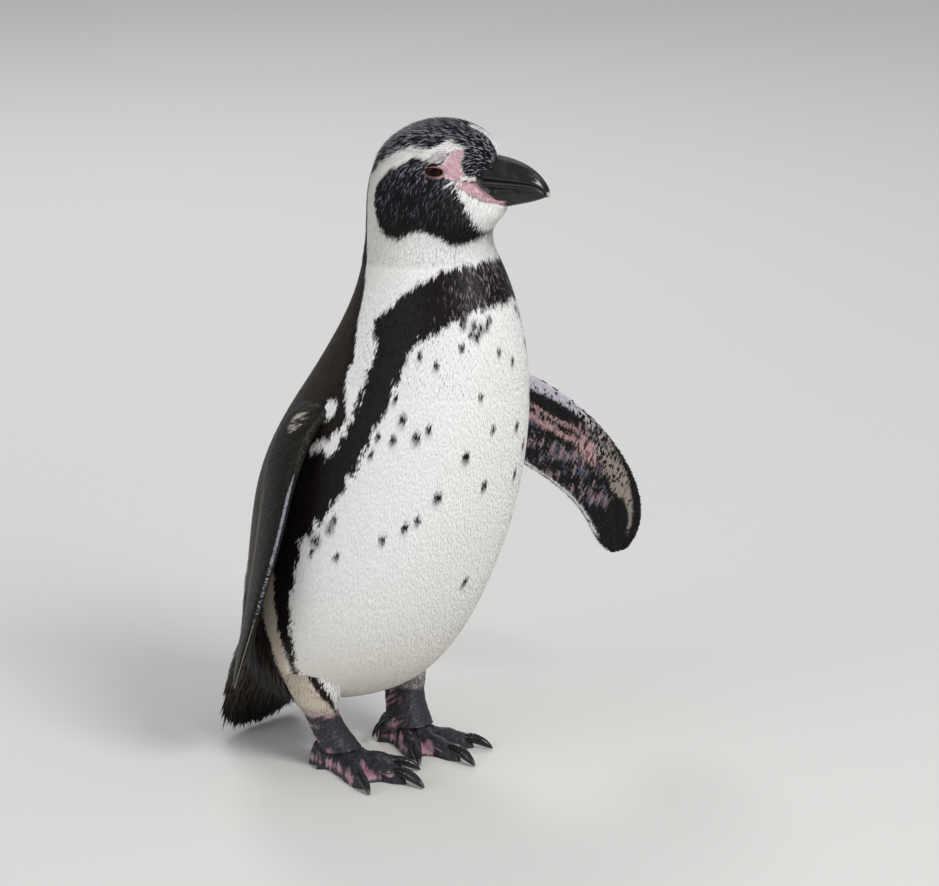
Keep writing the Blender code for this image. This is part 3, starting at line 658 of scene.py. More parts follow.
def outward(surface, u, v):
    """A place on a surface, the lengths of its steps in u and v, and its unit normal."""
    small = 1e-3
    here = surface(u, v)
    go_u, go_v = (surface(u + small, v) - here) / small, (surface(u, v + small) - here) / small
    out = np.cross(go_u, go_v)
    out /= np.maximum(np.linalg.norm(out, axis=1, keepdims=True), 1e-9)
    out *= np.sign(np.einsum("ij,ij->i", out, surface(u, v, 1.0) - here))[:, None]
    return here, np.linalg.norm(go_u, axis=1), np.linalg.norm(go_v, axis=1), out


def lying(surface, u, v, way, length, depth, rise, swing, limits, width, ridge, lean, stray):
    """Vanes that lie on a surface, and the u and v of their middles and their tips.

    A vane runs in the direction of u (way = +1 or -1) turned by swing radians, while its depth below the
    surface shrinks from depth at the root to -rise at the tip. limits are the least and the most u.
    """
    here, per_u, per_v, out = outward(surface, u, v)
    sections, places = [], []
    for share, sunk in ((0.0, 1.0), (0.5, 0.42), (1.0, 0.0)):
        reach = share * length
        uu = np.clip(u + way * reach * np.cos(swing) / np.maximum(per_u, 1e-3), *limits)
        vv = v + reach * np.sin(swing * (0.4 + 0.6 * share)) / np.maximum(per_v, 1e-3)
        sections.append(surface(uu, vv, -depth * sunk + rise * share))
        places.append((uu, vv))
    return vanes(*sections, out, width, ridge, lean, stray), places[1:]


def strewn(surface, low, high, spacing, seed, chance):
    """u and v of feathers spread over a surface, and three random numbers of -1 to 1 for each."""
    u, v = scatter(surface, low, high, spacing, seed)
    return u, v, *draws(len(u), chance)


def layer(shape, middle, tip, u, v):
    """One layer of a coat: the vanes' points and normals, the colours of their middles and tips, their roots."""
    return *shape, middle, tip, np.column_stack([v, u])


def coat(name, layers, low, high, material, slot):
    """One coat piece from its layers.

    The roots lie between low and high on the unwrap of the skin. Each vane's patch in the OFBake map lies at its
    root's place.
    """
    points, normals, middle, tip, roots = (np.concatenate(arrays) for arrays in zip(*layers))
    faces = (VANE[None] + len(PATCH_POINTS) * np.arange(len(points))[:, None, None]).reshape(-1, 3)
    tint = np.clip(np.stack([middle] * 6 + [tip], axis=1), 0, 1).reshape(-1, 3)
    spots = (roots - low) / (np.asarray(high) - low) * MAP_SHARE + MAP_EDGE
    uv = (spots[:, None, :] + PATCH * PATCH_POINTS[None]).reshape(-1, 2)
    dress(new_object(name, points.reshape(-1, 3), faces, tint, uv, normals.reshape(-1, 3)), material, slot)


def draws(count, seed):
    """Random numbers of -1 to 1, three for each feather."""
    return np.random.default_rng(seed).uniform(-1, 1, (3, count))


def around_eyes(own):
    """Distance from the middle of the eye as a share of the bare ring of lid around it."""
    return np.hypot((own[:, 0] - LID_AT[0]) / 8.0, (own[:, 1] - LID_AT[1]) / 5.6)


def bill_base(up):
    """How far forward the feathers of the face reach at each height."""
    return on_line(up, BILL_BASE)


# Columns: piece, rows from and to, spacing, seed, length, width, depth, rise, ridge, lean, stray.
COATS = (
    ("plumage_belly", 0.35, 6.0, 2.2, 11, 10.0, 2.6, 0.9, 0.02, 0.02, 0.03, 0.02),
    ("plumage_flanks", 6.0, 9.6, 2.0, 12, 9.0, 2.4, 0.9, 0.03, 0.03, 0.05, 0.03),
    ("plumage_breast", 9.6, 13.1, 1.7, 13, 7.4, 1.8, 0.8, 0.06, 0.05, 0.10, 0.09),
    ("plumage_head", 13.1, 22.0, 1.08, 14, 6.2, 0.8, 1.2, 0.34, 0.10, 0.28, 0.34),
)


def bill_coat(plumage):
    """Black feathers over the base of the upper bill and white ones over the lower one, below a line."""
    layers = []
    for surface, rows, high, low_row in ((upper_bill, UPPER_BILL, 4.2, 0.6), (lower_bill, LOWER_BILL, 6.5, 0.0)):
        u, v, loose, tone, third = strewn(surface, (low_row, 0.0), (high, 2 * math.pi), 0.95, 15, 15)
        own = loft(rows, u, v)
        forward, up = own[:, 0], own[:, 1]
        if rows is UPPER_BILL:
            edge = np.interp(up, (498, 501, 506, 513, 520), (135, 137, 141, 146, 150)) - 4 * np.abs(third) + 4 * loose
            keep = (forward < edge) & (up > 500.5 + 0.8 * loose) & ((forward > 134) | (up > 507))
            # Some of the black feathers are grey: painted glints.
            black = mix(np.tile(CAP_BLACK, (len(u), 1)), CAP_GLINT_GREY, 0.8 * smooth(0.55, 0.8, tone))
            shade, length, lift = black * (1 + 0.3 * loose[:, None]), 5.0 + tone, 0.35
        else:
            line = np.interp(forward, (118, 121, 136, 151.5, 156), (497, 494.6, 485.0, 480.0, 477))
            keep = (up + 0.8 * loose < line) & (forward < 155)
            shade, length, lift = WHITE * (0.95 + 0.06 * tone[:, None]), 4.0 + tone, 0.3
        shape, _ = lying(surface, u, v, -1, length, 0.6, lift + 0.5 * np.abs(third), 0.3 * third, (0.0, high + 0.4),
                         0.85 + 0.2 * loose, 0.1, 0.3, 0.25 * third)
        layers.append([part[keep] for part in layer(shape, shade, shade, u, v)])
    coat("plumage_bill_base", layers, (0.0, 0.0), (2 * math.pi, 6.5), plumage, "plumage_dark")


def body_coat(plumage):
    """Feathers of the trunk, the neck and the head, each zone in a left and a right piece."""
    for name, start, end, spacing, seed, length, width, depth, rise, ridge, lean, stray in COATS:
        for side, low, high in (("left", 0.0, math.pi), ("right", math.pi, 2 * math.pi)):
            u, v, loose, tone, third = strewn(body, (start, low), (end, high), spacing, seed, seed)
            size = np.ones(len(u))
            if name == "plumage_head":
                own = body_own(u, v)
                clear = around_eyes(own)
                size = 0.5 + 0.5 * smooth(1.0, 2.4, clear) * smooth(140, 112, own[:, 0])
                size = np.maximum(size, 0.5 + 0.5 * smooth(490, 480, own[:, 1]))
                keep = (own[:, 0] <= bill_base(own[:, 1])) & (clear > 1.0)
                keep &= coat_marks(u, v, loose)[1] < 3.0 * np.abs(third) ** 3
                u, v, size, loose, tone, third = (part[keep] for part in (u, v, size, loose, tone, third))
            own = body_own(u, v)
            dark = smooth(-1, 1, coat_marks(u, v, loose)[0])
            ruffled = np.maximum(dark, smooth(455, 465, own[:, 1]) * smooth(60, 75, own[:, 0]))
            crown = smooth(508, 522, own[:, 1]) * dark
            rump = smooth(3.4, 2.0, u) * dark
            lengths = length * size * (1 + 0.18 * tone) * (1 + 1.2 * rump)
            lift = rise * (0.4 + 1.2 * np.abs(third)) * size * (0.25 + 1.3 * ruffled + 4.0 * crown + 50 * rump)
            shape, places = lying(
                body, u, v, -1, lengths, depth * size, lift, (0.1 + 0.2 * ruffled) * third, (0.02, 21.98),
                width * (0.8 + 0.2 * size) * (1 + 0.2 * loose), ridge, lean * (0.3 + 0.7 * ruffled)[:, None, None],
                np.roll(third, 3) * stray * (0.2 + 0.8 * ruffled + 0.6 * rump))
            # Feathers whose tips would cover the bare face are left out.
            free = coat_marks(*places[1], loose)[1] < 0.5 + 2.2 * np.abs(third) ** 3
            colours = [coat_colour(*place, loose, tone) for place in places]
            coat(f"{name}_{side}", [[part[free] for part in layer(shape, *colours, u, v)]], (low, start),
                 (high, end), plumage, "plumage_white" if start < 13 else "plumage_dark")


# ---------------------------------------------------------------- materials

def add(tree, kind, settings=None, links=None):
    """A node of this kind, with its properties and input values set and its inputs linked."""
    node = tree.nodes.new(kind)
    for key, value in (settings or {}).items():
        if isinstance(key, int) or key in node.inputs:
            node.inputs[key].default_value = value
        else:
            setattr(node, key, value)
    for key, source in (links or {}).items():
        tree.links.new(source, node.inputs[key])
    return node


def new_material(name):
    made = bpy.data.materials.new(name)
    made.use_nodes = True
    return made, made.node_tree, made.node_tree.nodes["Principled BSDF"]


def mottled(name, scale, detail, light, noise=(0.3, 0.7)):
    """A material whose tint is multiplied by noise, from light[0] where it is noise[0] to light[1] at noise[1].

    Also its node tree, its shader, and the outputs of its coordinates, its tint and the noise.
    """
    made, tree, shader = new_material(name)
    place = add(tree, "ShaderNodeTexCoord").outputs["Object"]
    tint = add(tree, "ShaderNodeVertexColor", {"layer_name": "tint"}).outputs["Color"]
    pattern = add(tree, "ShaderNodeTexNoise", {"Scale": scale, "Detail": detail}, {"Vector": place}).outputs["Fac"]
    bright = add(tree, "ShaderNodeMapRange", {
        "From Min": noise[0], "From Max": noise[1], "To Min": light[0], "To Max": light[1]}, {"Value": pattern})
    shade = add(tree, "ShaderNodeMix", {"data_type": "RGBA", "blend_type": "MULTIPLY", 0: 1.0},
                {6: tint, 7: bright.outputs[0]})
    tree.links.new(shade.outputs[2], shader.inputs["Base Color"])
    return made, tree, shader, place, tint, pattern


def set_values(shader, **values):
    """Input values of the shader, with underscores for spaces."""
    for name, value in values.items():
        shader.inputs[name.replace("_", " ")].default_value = value


def plumage_material():
    """Contour feathers: keratin barbs packed into a dense, silky coat. They shine softly along the lie."""
    # Barbs are 0.1 mm apart; they are drawn 0.5 mm apart so that they show.
    made, tree, shader, _, tint, barbs = mottled("contour_feathers", 2000.0, 2.0, (0.86, 1.12), (0.25, 0.75))
    bright = add(tree, "ShaderNodeRGBToBW", None, {0: tint})
    rough = add(tree, "ShaderNodeMapRange", {"From Min": 0.0, "From Max": 0.3, "To Min": 0.42, "To Max": 0.62},
                {"Value": bright.outputs[0]})
    tree.links.new(rough.outputs[0], shader.inputs["Roughness"])
    set_values(shader, Specular_IOR_Level=0.14, Sheen_Weight=0.02, Sheen_Roughness=0.4)
    return made


def skin_material():
    """Bare skin: a finely grained, slightly greasy surface over flesh. The grain's bumps are 1.2 mm apart and
    0.4 mm high, and its blotches about 4 mm across."""
    made, tree, shader, place, _, _ = mottled("bare_skin", 260.0, 5.0, (0.8, 1.15))
    grain = add(tree, "ShaderNodeTexVoronoi", {"Scale": 1 / 0.0012}, {"Vector": place})
    bump = add(tree, "ShaderNodeBump", {"Strength": 0.6, "Distance": 0.0004}, {"Height": grain.outputs["Distance"]})
    tree.links.new(bump.outputs[0], shader.inputs["Normal"])
    set_values(shader, Roughness=0.5)
    return made


def horn_material():
    """Keratin of bill and claws: black, dense and polished by wear, with faint growth streaks about 1 mm apart."""
    made, tree, shader, _, _, streaks = mottled("polished_horn", 900.0, 4.0, (0.75, 1.25))
    rough = add(tree, "ShaderNodeMapRange", {"From Min": 0.3, "From Max": 0.7, "To Min": 0.16, "To Max": 0.3},
                {"Value": streaks})
    tree.links.new(rough.outputs[0], shader.inputs["Roughness"])
    bump = add(tree, "ShaderNodeBump", {"Strength": 0.25, "Distance": 0.0002}, {"Height": streaks})
    tree.links.new(bump.outputs[0], shader.inputs["Normal"])
    return made


def eye_material():
    """A living eye: a dark iris, with fibres about 0.5 mm apart, under a clear, wet cornea with a sharp highlight."""
    made, _, shader, *_ = mottled("wet_eye", 1800.0, 3.0, (0.7, 1.3))
    set_values(shader, Roughness=0.1, Specular_IOR_Level=0.05, Coat_Weight=0.08, Coat_Roughness=0.02)
    return made


# ---------------------------------------------------------------- skin

def head_side(forward, up):
    """Half-width of the head at places of its own plane: a Gaussian mean of the loft's points near each one."""
    us, vs = np.linspace(15.5, 20, 90), np.linspace(0.5, 2.4, 90)
    u, v = (part.ravel() for part in np.meshgrid(us, vs, indexing="ij"))
    own = body_own(u, v)
    gap = (forward[:, None] - own[None, :, 0]) ** 2 + (up[:, None] - own[None, :, 1]) ** 2
    weight = np.exp(-gap / 1.6)
    return (weight * own[None, :, 2]).sum(1) / weight.sum(1)


# Middle of the lids; their opening as angles at the eyeball's centre, and their outer edge in millimetres.
LID_AT, LID_WIDE, LID_HIGH, LID_EDGE, LID_RADIUS = (105.2, 509.0), 52.0, 23.0, (9.8, 6.6), 8.75


def lids(side):
    def surface(u, v, grow=0.0):
        """Closed ring around the eyeball: u = 0 to 1 runs out of the eyeball over the lid's rim and folds to the
        skin, u = 1 to 2 runs back below it. v is the angle around the opening."""
        cosine, sine = np.cos(v), np.sin(v)
        wide, high = np.radians(LID_WIDE) * cosine, np.radians(LID_HIGH) * np.sign(sine) * np.abs(sine) ** 0.9
        inner = np.column_stack([np.sin(wide), np.sin(high)]) * LID_RADIUS
        lift = np.sqrt(LID_RADIUS**2 - (inner**2).sum(1))
        inner[:, 0] += 1.5
        outer = np.column_stack([LID_EDGE[0] * cosine + LID_AT[0] - EYE_AT[0], LID_EDGE[1] * sine])
        skin = head_side(EYE_AT[0] + outer[:, 0], EYE_AT[1] + outer[:, 1]) - EYE_SIDE - 1.0
        q = np.clip(u, 0, 1)
        share = np.clip((q - 0.12) / 0.88, 0, 1)
        plane = inner + (outer - inner) * (share**1.1)[:, None]
        eased = share * share * (3 - 2 * share)
        rim = 0.75 * np.exp(-(((q - 0.24) / 0.12) ** 2)) - 1.6 * (1 - smooth(0, 0.14, q))
        folds = -0.35 * np.exp(-(((q - 0.46) / 0.07) ** 2)) + 0.3 * np.exp(-(((q - 0.6) / 0.08) ** 2))
        raised = lift + (skin - lift) * eased + rim + folds * np.abs(sine) ** 0.5
        back = np.clip(u - 1, 0, 1)
        plane = plane * (1 - back)[:, None]
        raised = raised - 5.0 * smooth(0, 0.3, back)
        own = np.column_stack([EYE_AT[0] + plane[:, 0], EYE_AT[1] + plane[:, 1], OWN[side] * (EYE_SIDE + raised)])
        return on_skull(own)
    return surface


def toe_ridge(ahead, left, length, degrees, side):
    """Height of one toe over the floor: its height along it times a half-ellipse across, with low knuckles."""
    angle = math.radians(foot_turn(side, degrees))
    along = ahead * math.cos(angle) + left * math.sin(angle)
    across = left * math.cos(angle) - ahead * math.sin(angle)
    share = along / length
    half = np.interp(share, TOE_SHARE, TOE_HALF) * (1 + 0.05 * np.cos(share * 2 * math.pi * 3))
    half = half * np.sqrt(np.clip((1.06 - share) / 0.10, 0, 1))
    height = np.interp(share, TOE_SHARE, TOE_HEIGHT) * (1 + 0.05 * np.cos(share * 2 * math.pi * 3))
    bulge = np.clip(1 - (across / np.maximum(half, 0.1)) ** 2, 0, 1) ** 0.5
    return np.where(share > -0.35, height * bulge, 0.0), along, across


FOOT_BLEND = 3.0  # millimetres over which toes, web and heel flow together


def foot_height(ahead, left, side):
    """Height of the foot's top: the highest toe, the web between the toes, and the heel under the ankle."""
    ridges = [toe_ridge(ahead, left, length, degrees, side) for length, degrees in TOES.values()]
    ridge = np.maximum.reduce([r[0] for r in ridges])
    radius = np.hypot(ahead, left)
    bearing = np.degrees(np.arctan2(left, ahead)) * OWN[side]
    turns = sorted((TOE_OUT[side] - degrees, length) for length, degrees in TOES.values())
    web = np.zeros(len(ahead))
    for (first, near), (second, far) in zip(turns[:-1], turns[1:]):
        share = np.clip((bearing - first) / (second - first), 0, 1)
        edge = 0.93 * (near + (far - near) * share) - 34 * share * (1 - share)
        inside_web = (bearing >= first) & (bearing <= second)
        rounded = np.clip(1 - (radius / edge) ** 8, 0, 1) ** 0.5
        thick = 4.6 + 6.5 * np.exp(-((radius / 20) ** 2))
        web = np.where(inside_web, np.maximum(web, thick * rounded), web)
    heel = 17 * np.clip(1 - ((ahead + 2) / 16) ** 2 - (left / 14.5) ** 2, 0, 1) ** 0.5
    raised = np.log(sum(np.exp(part / FOOT_BLEND) for part in (ridge, web, heel)) - 2) * FOOT_BLEND
    return raised, ridges


FOOT_RAYS = np.linspace(-math.pi, math.pi, 401)[:-1]
FOOT_REACH = 78  # millimetres from the ankle


def foot(side):
    """The whole foot as one closed surface about the ankle, with its colours.

    A ray leaves the ankle at each bearing and ends where the foot's height falls to nothing. The top is the
    height along the rays, with crosswise plates on the toes, and the sole is flat.
    """
    steps = np.linspace(0.5, FOOT_REACH, 312)
    ahead, left = np.cos(FOOT_RAYS)[:, None] * steps, np.sin(FOOT_RAYS)[:, None] * steps
    high = foot_height(ahead.ravel(), left.ravel(), side)[0].reshape(ahead.shape)
    reach = steps[len(steps) - 1 - np.argmax((high > 0.4)[:, ::-1], axis=1)]
    reach = (np.roll(reach, 1) + 2 * reach + np.roll(reach, -1)) / 4

    def on_top(u, v):
        """How far out a place of the top is, as a share of its ray, and its distances ahead and to the left."""
        share = 1 - (1 - np.clip(u, 0, 1)) ** 1.7
        radius = np.interp(v, np.append(FOOT_RAYS, math.pi), np.append(reach, reach[0])) * share
        return share, radius * np.cos(v), radius * np.sin(v)

    def surface(u, v, grow=0.0):
        share, x, y = on_top(u, v)
        under = 1 - 0.98 * np.clip(u - 1, 0, 1)
        x, y = x * under, y * under
        raised, ridges = foot_height(x, y, side)
        for height, along, across in ridges:
            plated = smooth(4.5, 8.0, height) * (height >= raised - 4.5)
            saw = (along / 2.9) % 1.0
            raised = raised + plated * (0.55 * saw**0.7 * (1 - smooth(0.86, 1.0, saw)) - 0.3)
        wrinkle = 0.22 * ripple(np.column_stack([x, y, 0 * x]), 4.5, 31) * smooth(0.5, 3, raised)
        up = np.where(u > 1, 0.0, np.maximum(raised + wrinkle, 0) * smooth(1.0, 0.93, share) ** 0.5 + 0.35)
        return on_foot(x, y, up, side, 0.0)

    points, faces, u, v = grid(surface, np.concatenate([np.linspace(0.01, 1, 84), [1.02, 2.0]]), FOOT_RAYS)
    share, x, y = on_top(u, v)
    ridge = np.maximum.reduce([r[0] for r in foot_height(x, y, side)[1]])
    flat = np.column_stack([x, y, 0 * x])
    rays = np.column_stack([np.degrees(v) * 0.4, np.hypot(x, y) * 0.12, 0 * x])
    pink = smooth(0.1, 0.9, 0.8 * ripple(rays, 6.0, 33 + (side == "left")) + 0.45 * ripple(flat, 4.0, 36) + 1.6
                  - 0.17 * ridge - 1.6 * smooth(0.94, 1.0, share) - 1.0 * smooth(18, 8, np.hypot(x, y)))
    pink = np.where(u > 1, 0.2, pink)
    colours = mix(LEG_BLACK, LEG_PINK, pink * 0.9)
    colours = mix(colours, LEG_GREY, 0.4 * smooth(0.2, 1.3, ripple(flat, 3.4, 35)) * (1 - pink))
    return points, faces, colours


def shank(side):
    def surface(u, v, grow=0.0):
        """The bare ankle bone, with overlapping plates across its front and grains behind."""
        front = smooth(1.5, 0.9, np.abs(v - math.pi))
        saw = (u * 4.6) % 1.0
        plates = front * (0.16 * saw**0.8 * (1 - smooth(0.85, 1.0, saw)) - 0.1)
        plates = plates + 0.28 * ripple(np.column_stack([v * 14, u * 11, 0 * u]), 3.4, 32)
        rows = np.array(TARSUS)
        rows[:, 2] += ANKLE_FRONT[side]
        return leg(rows, side)(u, v, grow + plates)
    return surface


def hind_toe(side):
    def surface(u, v, grow=0.0):
        """A short round toe from the ankle bone inwards."""
        along = 4 + u * (HIND_TOE[0] - 4)
        half = np.interp(u, (0, 0.5, 0.9, 1.0), (8.5, 6.0, 4.6, 1.5))
        high = np.interp(u, (0, 0.5, 0.9, 1.0), (9.5, 7.0, 5.2, 1.8))
        return on_foot(along, half * np.cos(v), 15 + high * np.sin(v), side, foot_turn(side, HIND_TOE[1]))
    return surface


def leg_colour(points, seed, rear):
    """Black skin with worn pink patches behind, a pink band at the top, and grey above it."""
    high = smooth(44, 50, points[:, 2] + 1.5 * ripple(points, 9.0, seed + 3))
    worn = smooth(0.0, 0.6, ripple(points, 16.0, seed) + 0.5 * ripple(points, 5.0, seed + 1))
    pink = np.clip(worn * rear + high, 0, 1)
    colour = mix(LEG_BLACK, LEG_PINK * 1.1, 0.9 * pink)
    colour = mix(colour, ANKLE_GREY, smooth(51.0, 53.5, points[:, 2] + ripple(points, 5.0, seed + 7)))
    return mix(colour, LEG_GREY, 0.35 * smooth(0.2, 1.3, ripple(points, 3.4, seed + 5)) * (1 - pink))


def face_colour(points, forward, up):
    """Bare face: pink with lilac and grey flecks, darker and lined along the jaw."""
    face = mix(PINK, PINK_DEEP, 0.7 * smooth(-0.3, 1.3, ripple(points, 2.6, 42)))
    face = mix(face, linear("#8f8799"), 0.35 * smooth(0.3, 1.4, ripple(points, 1.9, 46)))
    face = mix(face, linear("#e6dcdc"), 0.6 * smooth(0.9, 1.6, ripple(points, 2.0, 47)))
    lines = np.sin((up - 0.25 * forward + 0.5 * ripple(points, 6.0, 48)) * 2 * math.pi / 2.1)
    face = mix(face, PINK_DEEP * 0.45, smooth(493, 489, up) * (0.35 + 0.35 * lines))
    return face * (1 + 0.12 * ripple(points, 2.0, 41)[:, None])


def body_skin():
    """The skin of trunk, neck and head, with the marks of the coat darkened as painted shade, the bare face and the
    corner of the mouth.
    """
    us = np.concatenate([np.linspace(0, 14, 113)[:-1], np.linspace(14, 22, 150)])
    points, faces, u, v = grid(lambda u, v: body(u, v, skin_depth(u, v)), us, around(192))
    none = np.zeros(len(u))
    bare, own = coat_marks(u, v, none)[1:3]
    forward, up = own[:, 0], own[:, 1]
    # The coat's colours darkened to 0.8: painted shade where the skin shows between feathers.
    colour = mix(coat_colour(u, v, none, none) * 0.8, face_colour(points, forward, up), smooth(-0.5, 0.5, bare))
    colour = mix(colour, linear("#e9e2dd"), smooth(-0.5, 0.3, inside(forward, up, RICTUS)))
    spot = np.hypot((forward - CORNER[0]) / 1.7, up - CORNER[1] - 0.2) + 0.5 * ripple(points, 2.4, 50)
    colour = mix(colour, ORANGE, 0.7 * smooth(3.0, 1.6, spot))
    seam = np.abs(up - on_line(forward, JAW_SEAM))
    colour = mix(colour, linear("#7a3a3d"), 0.8 * smooth(1.0, 0.4, seam) * smooth(116, 119, forward))
    # A dark line along the crease in front of the mouth's corner: painted shade in the crease.
    crease = np.abs(up - on_line(forward, CREASE))
    colour = mix(colour, linear("#4a2226"), smooth(0.9, 0.4, crease) * smooth(118.5, 120, forward))
    return points, faces, colour


def lid_colour(points, u, v):
    """Dark red at the rim, greyish pink outside it, nearly black behind the eye, with pale flecks."""
    rear = smooth(0.2, -0.5, np.cos(v) + 0.4 * np.sin(v))
    outer = mix(linear("#b59aa2"), linear("#3a3338"), rear * smooth(0.35, 0.6, u))
    colour = mix(mix(linear("#8f6a68"), outer, smooth(0.3, 0.6, u)), linear("#4f2c28"), smooth(0.3, 0.18, u))
    colour = mix(colour, linear("#cfc0c2"), 0.6 * smooth(0.5, 1.2, ripple(points, 1.5, 49)) * (u > 0.3))
    return colour * (1 + 0.12 * ripple(points, 1.4, 43)[:, None])


def limb_skins(side):
    """The skin of one side: flipper, thigh, lids, shank, hind toe and foot."""
    blade, limb = flipper(side), leg(THIGH, side)
    # Columns: surface, values of u, points around, colour of points at u and v.
    for surface, us, count, colour in (
        # The flipper's and the thigh's skin take the coat's colours darkened, as painted shade where the skin shows
        # between feathers.
        (lambda u, v: blade(u, v, -0.8), np.linspace(0, 10, 110), 64,
         lambda points, u, v: blade_colour(side, u, v, 0 * u, 0 * u) * 0.85),
        (lambda u, v: limb(u, v, -2.0), np.linspace(0, 4, 24), 48,
         lambda points, u, v: thigh_colour(side, u, v, 0 * u, 0 * u) * 0.8),
        (lids(side), np.append(np.linspace(0, 1, 40), (1.1, 1.3, 1.9)), 96, lid_colour),
        (shank(side), np.linspace(0, 4, 120), 72,
         lambda points, u, v: leg_colour(points, 44, smooth(1.0, 1.9, np.abs(v - math.pi)))),
        (hind_toe(side), np.linspace(0, 1, 16), 24,
         lambda points, u, v: leg_colour(points, 45, 0.6 * smooth(1.0, 0.3, u))),
    ):
        points, faces, u, v = grid(surface, us, around(count))
        yield points, faces, colour(points, u, v)
    yield foot(side)


def make_skin(skin):
    """The flesh under the coat as one object of closed parts, with the coat's markings on it, darkened as painted
    shade between the feathers.
    """
    parts = [body_skin(), *limb_skins("left"), *limb_skins("right")]
    points, faces, u, v = grid(lambda u, v: tail(u, v, -2.5 + 0.25 * u), np.linspace(0, 4.9, 50), around(48))
    parts.append((points, faces, np.tile(linear("#231e1c"), (len(u), 1))))
    nodes = [f"{node}_{side}" for node in ("flipper", "thigh", "tarsus", "foot") for side in SIDES]
    dress(new_object("skin", *joined(parts)), skin, "foot_skin", "head", "neck", "trunk", "tail", *nodes)


def skin_depth(u, v):
    """How far the skin lies inside the coat: about 1.5 mm, deeper behind the eyeballs and the base of the bill."""
    depth = 1.6 - 0.2 * smooth(12.5, 15.5, u)
    own = body_own(u, v)
    bare = np.maximum(inside(own[:, 0], own[:, 1], LORE), inside(own[:, 0], own[:, 1], JAW))
    depth = depth - 1.0 * smooth(-2, 2, bare) * (u > FACE_ROW)
    ahead = smooth(0, 4, own[:, 0] - bill_base(own[:, 1])) * smooth(499, 502, own[:, 1])
    depth = depth + 4.0 * ahead * (u > FACE_ROW)
    return -(depth + 6.5 * (u > FACE_ROW) * smooth(1.08, 0.88, around_eyes(own)))


# ---------------------------------------------------------------- flippers, legs and tail

# Markings of the flippers as closed lines of (along, towards the leading edge).
INNER_BLACK = (
    ((66, 15), (80, 24), (99.5, 29), (125, 31), (133, 24), (124, 17.5), (103, 13.5), (80, 13)),
    ((134, 28), (144, 29), (160, 26.4), (172, 22), (155, 24.4), (142, 26)),
    ((229, -60), (229, -49), (223, -35), (213, -24), (209, -14), (206, -10), (217, -8.5), (234, -19), (248, -34),
     (256, -45), (266, -50), (262, -66)),
)
LEADING_PALE = (
    (62, 20), (67, 23), (81, 27.7), (101, 31.6), (128, 31.3), (138, 30.3), (162, 26.4), (188, 19), (210, 10.7),
    (216, 16), (188, 30), (160, 40), (100, 46), (50, 42),
)
TIP_PALE = (
    (152, 20), (162, 10), (172, 6), (186, 0), (206, -10), (217, -8.5), (234, -19), (248, -34), (254, -30),
    (239.5, -12), (218, 4), (200, 12),
)
OUTER_TRAIL = (
    (78, -46.5), (95, -46), (126, -44.6), (158, -42.6), (186, -42.8), (208, -47), (226, -54.5), (256, -58),
    (256, -75), (78, -70),
)


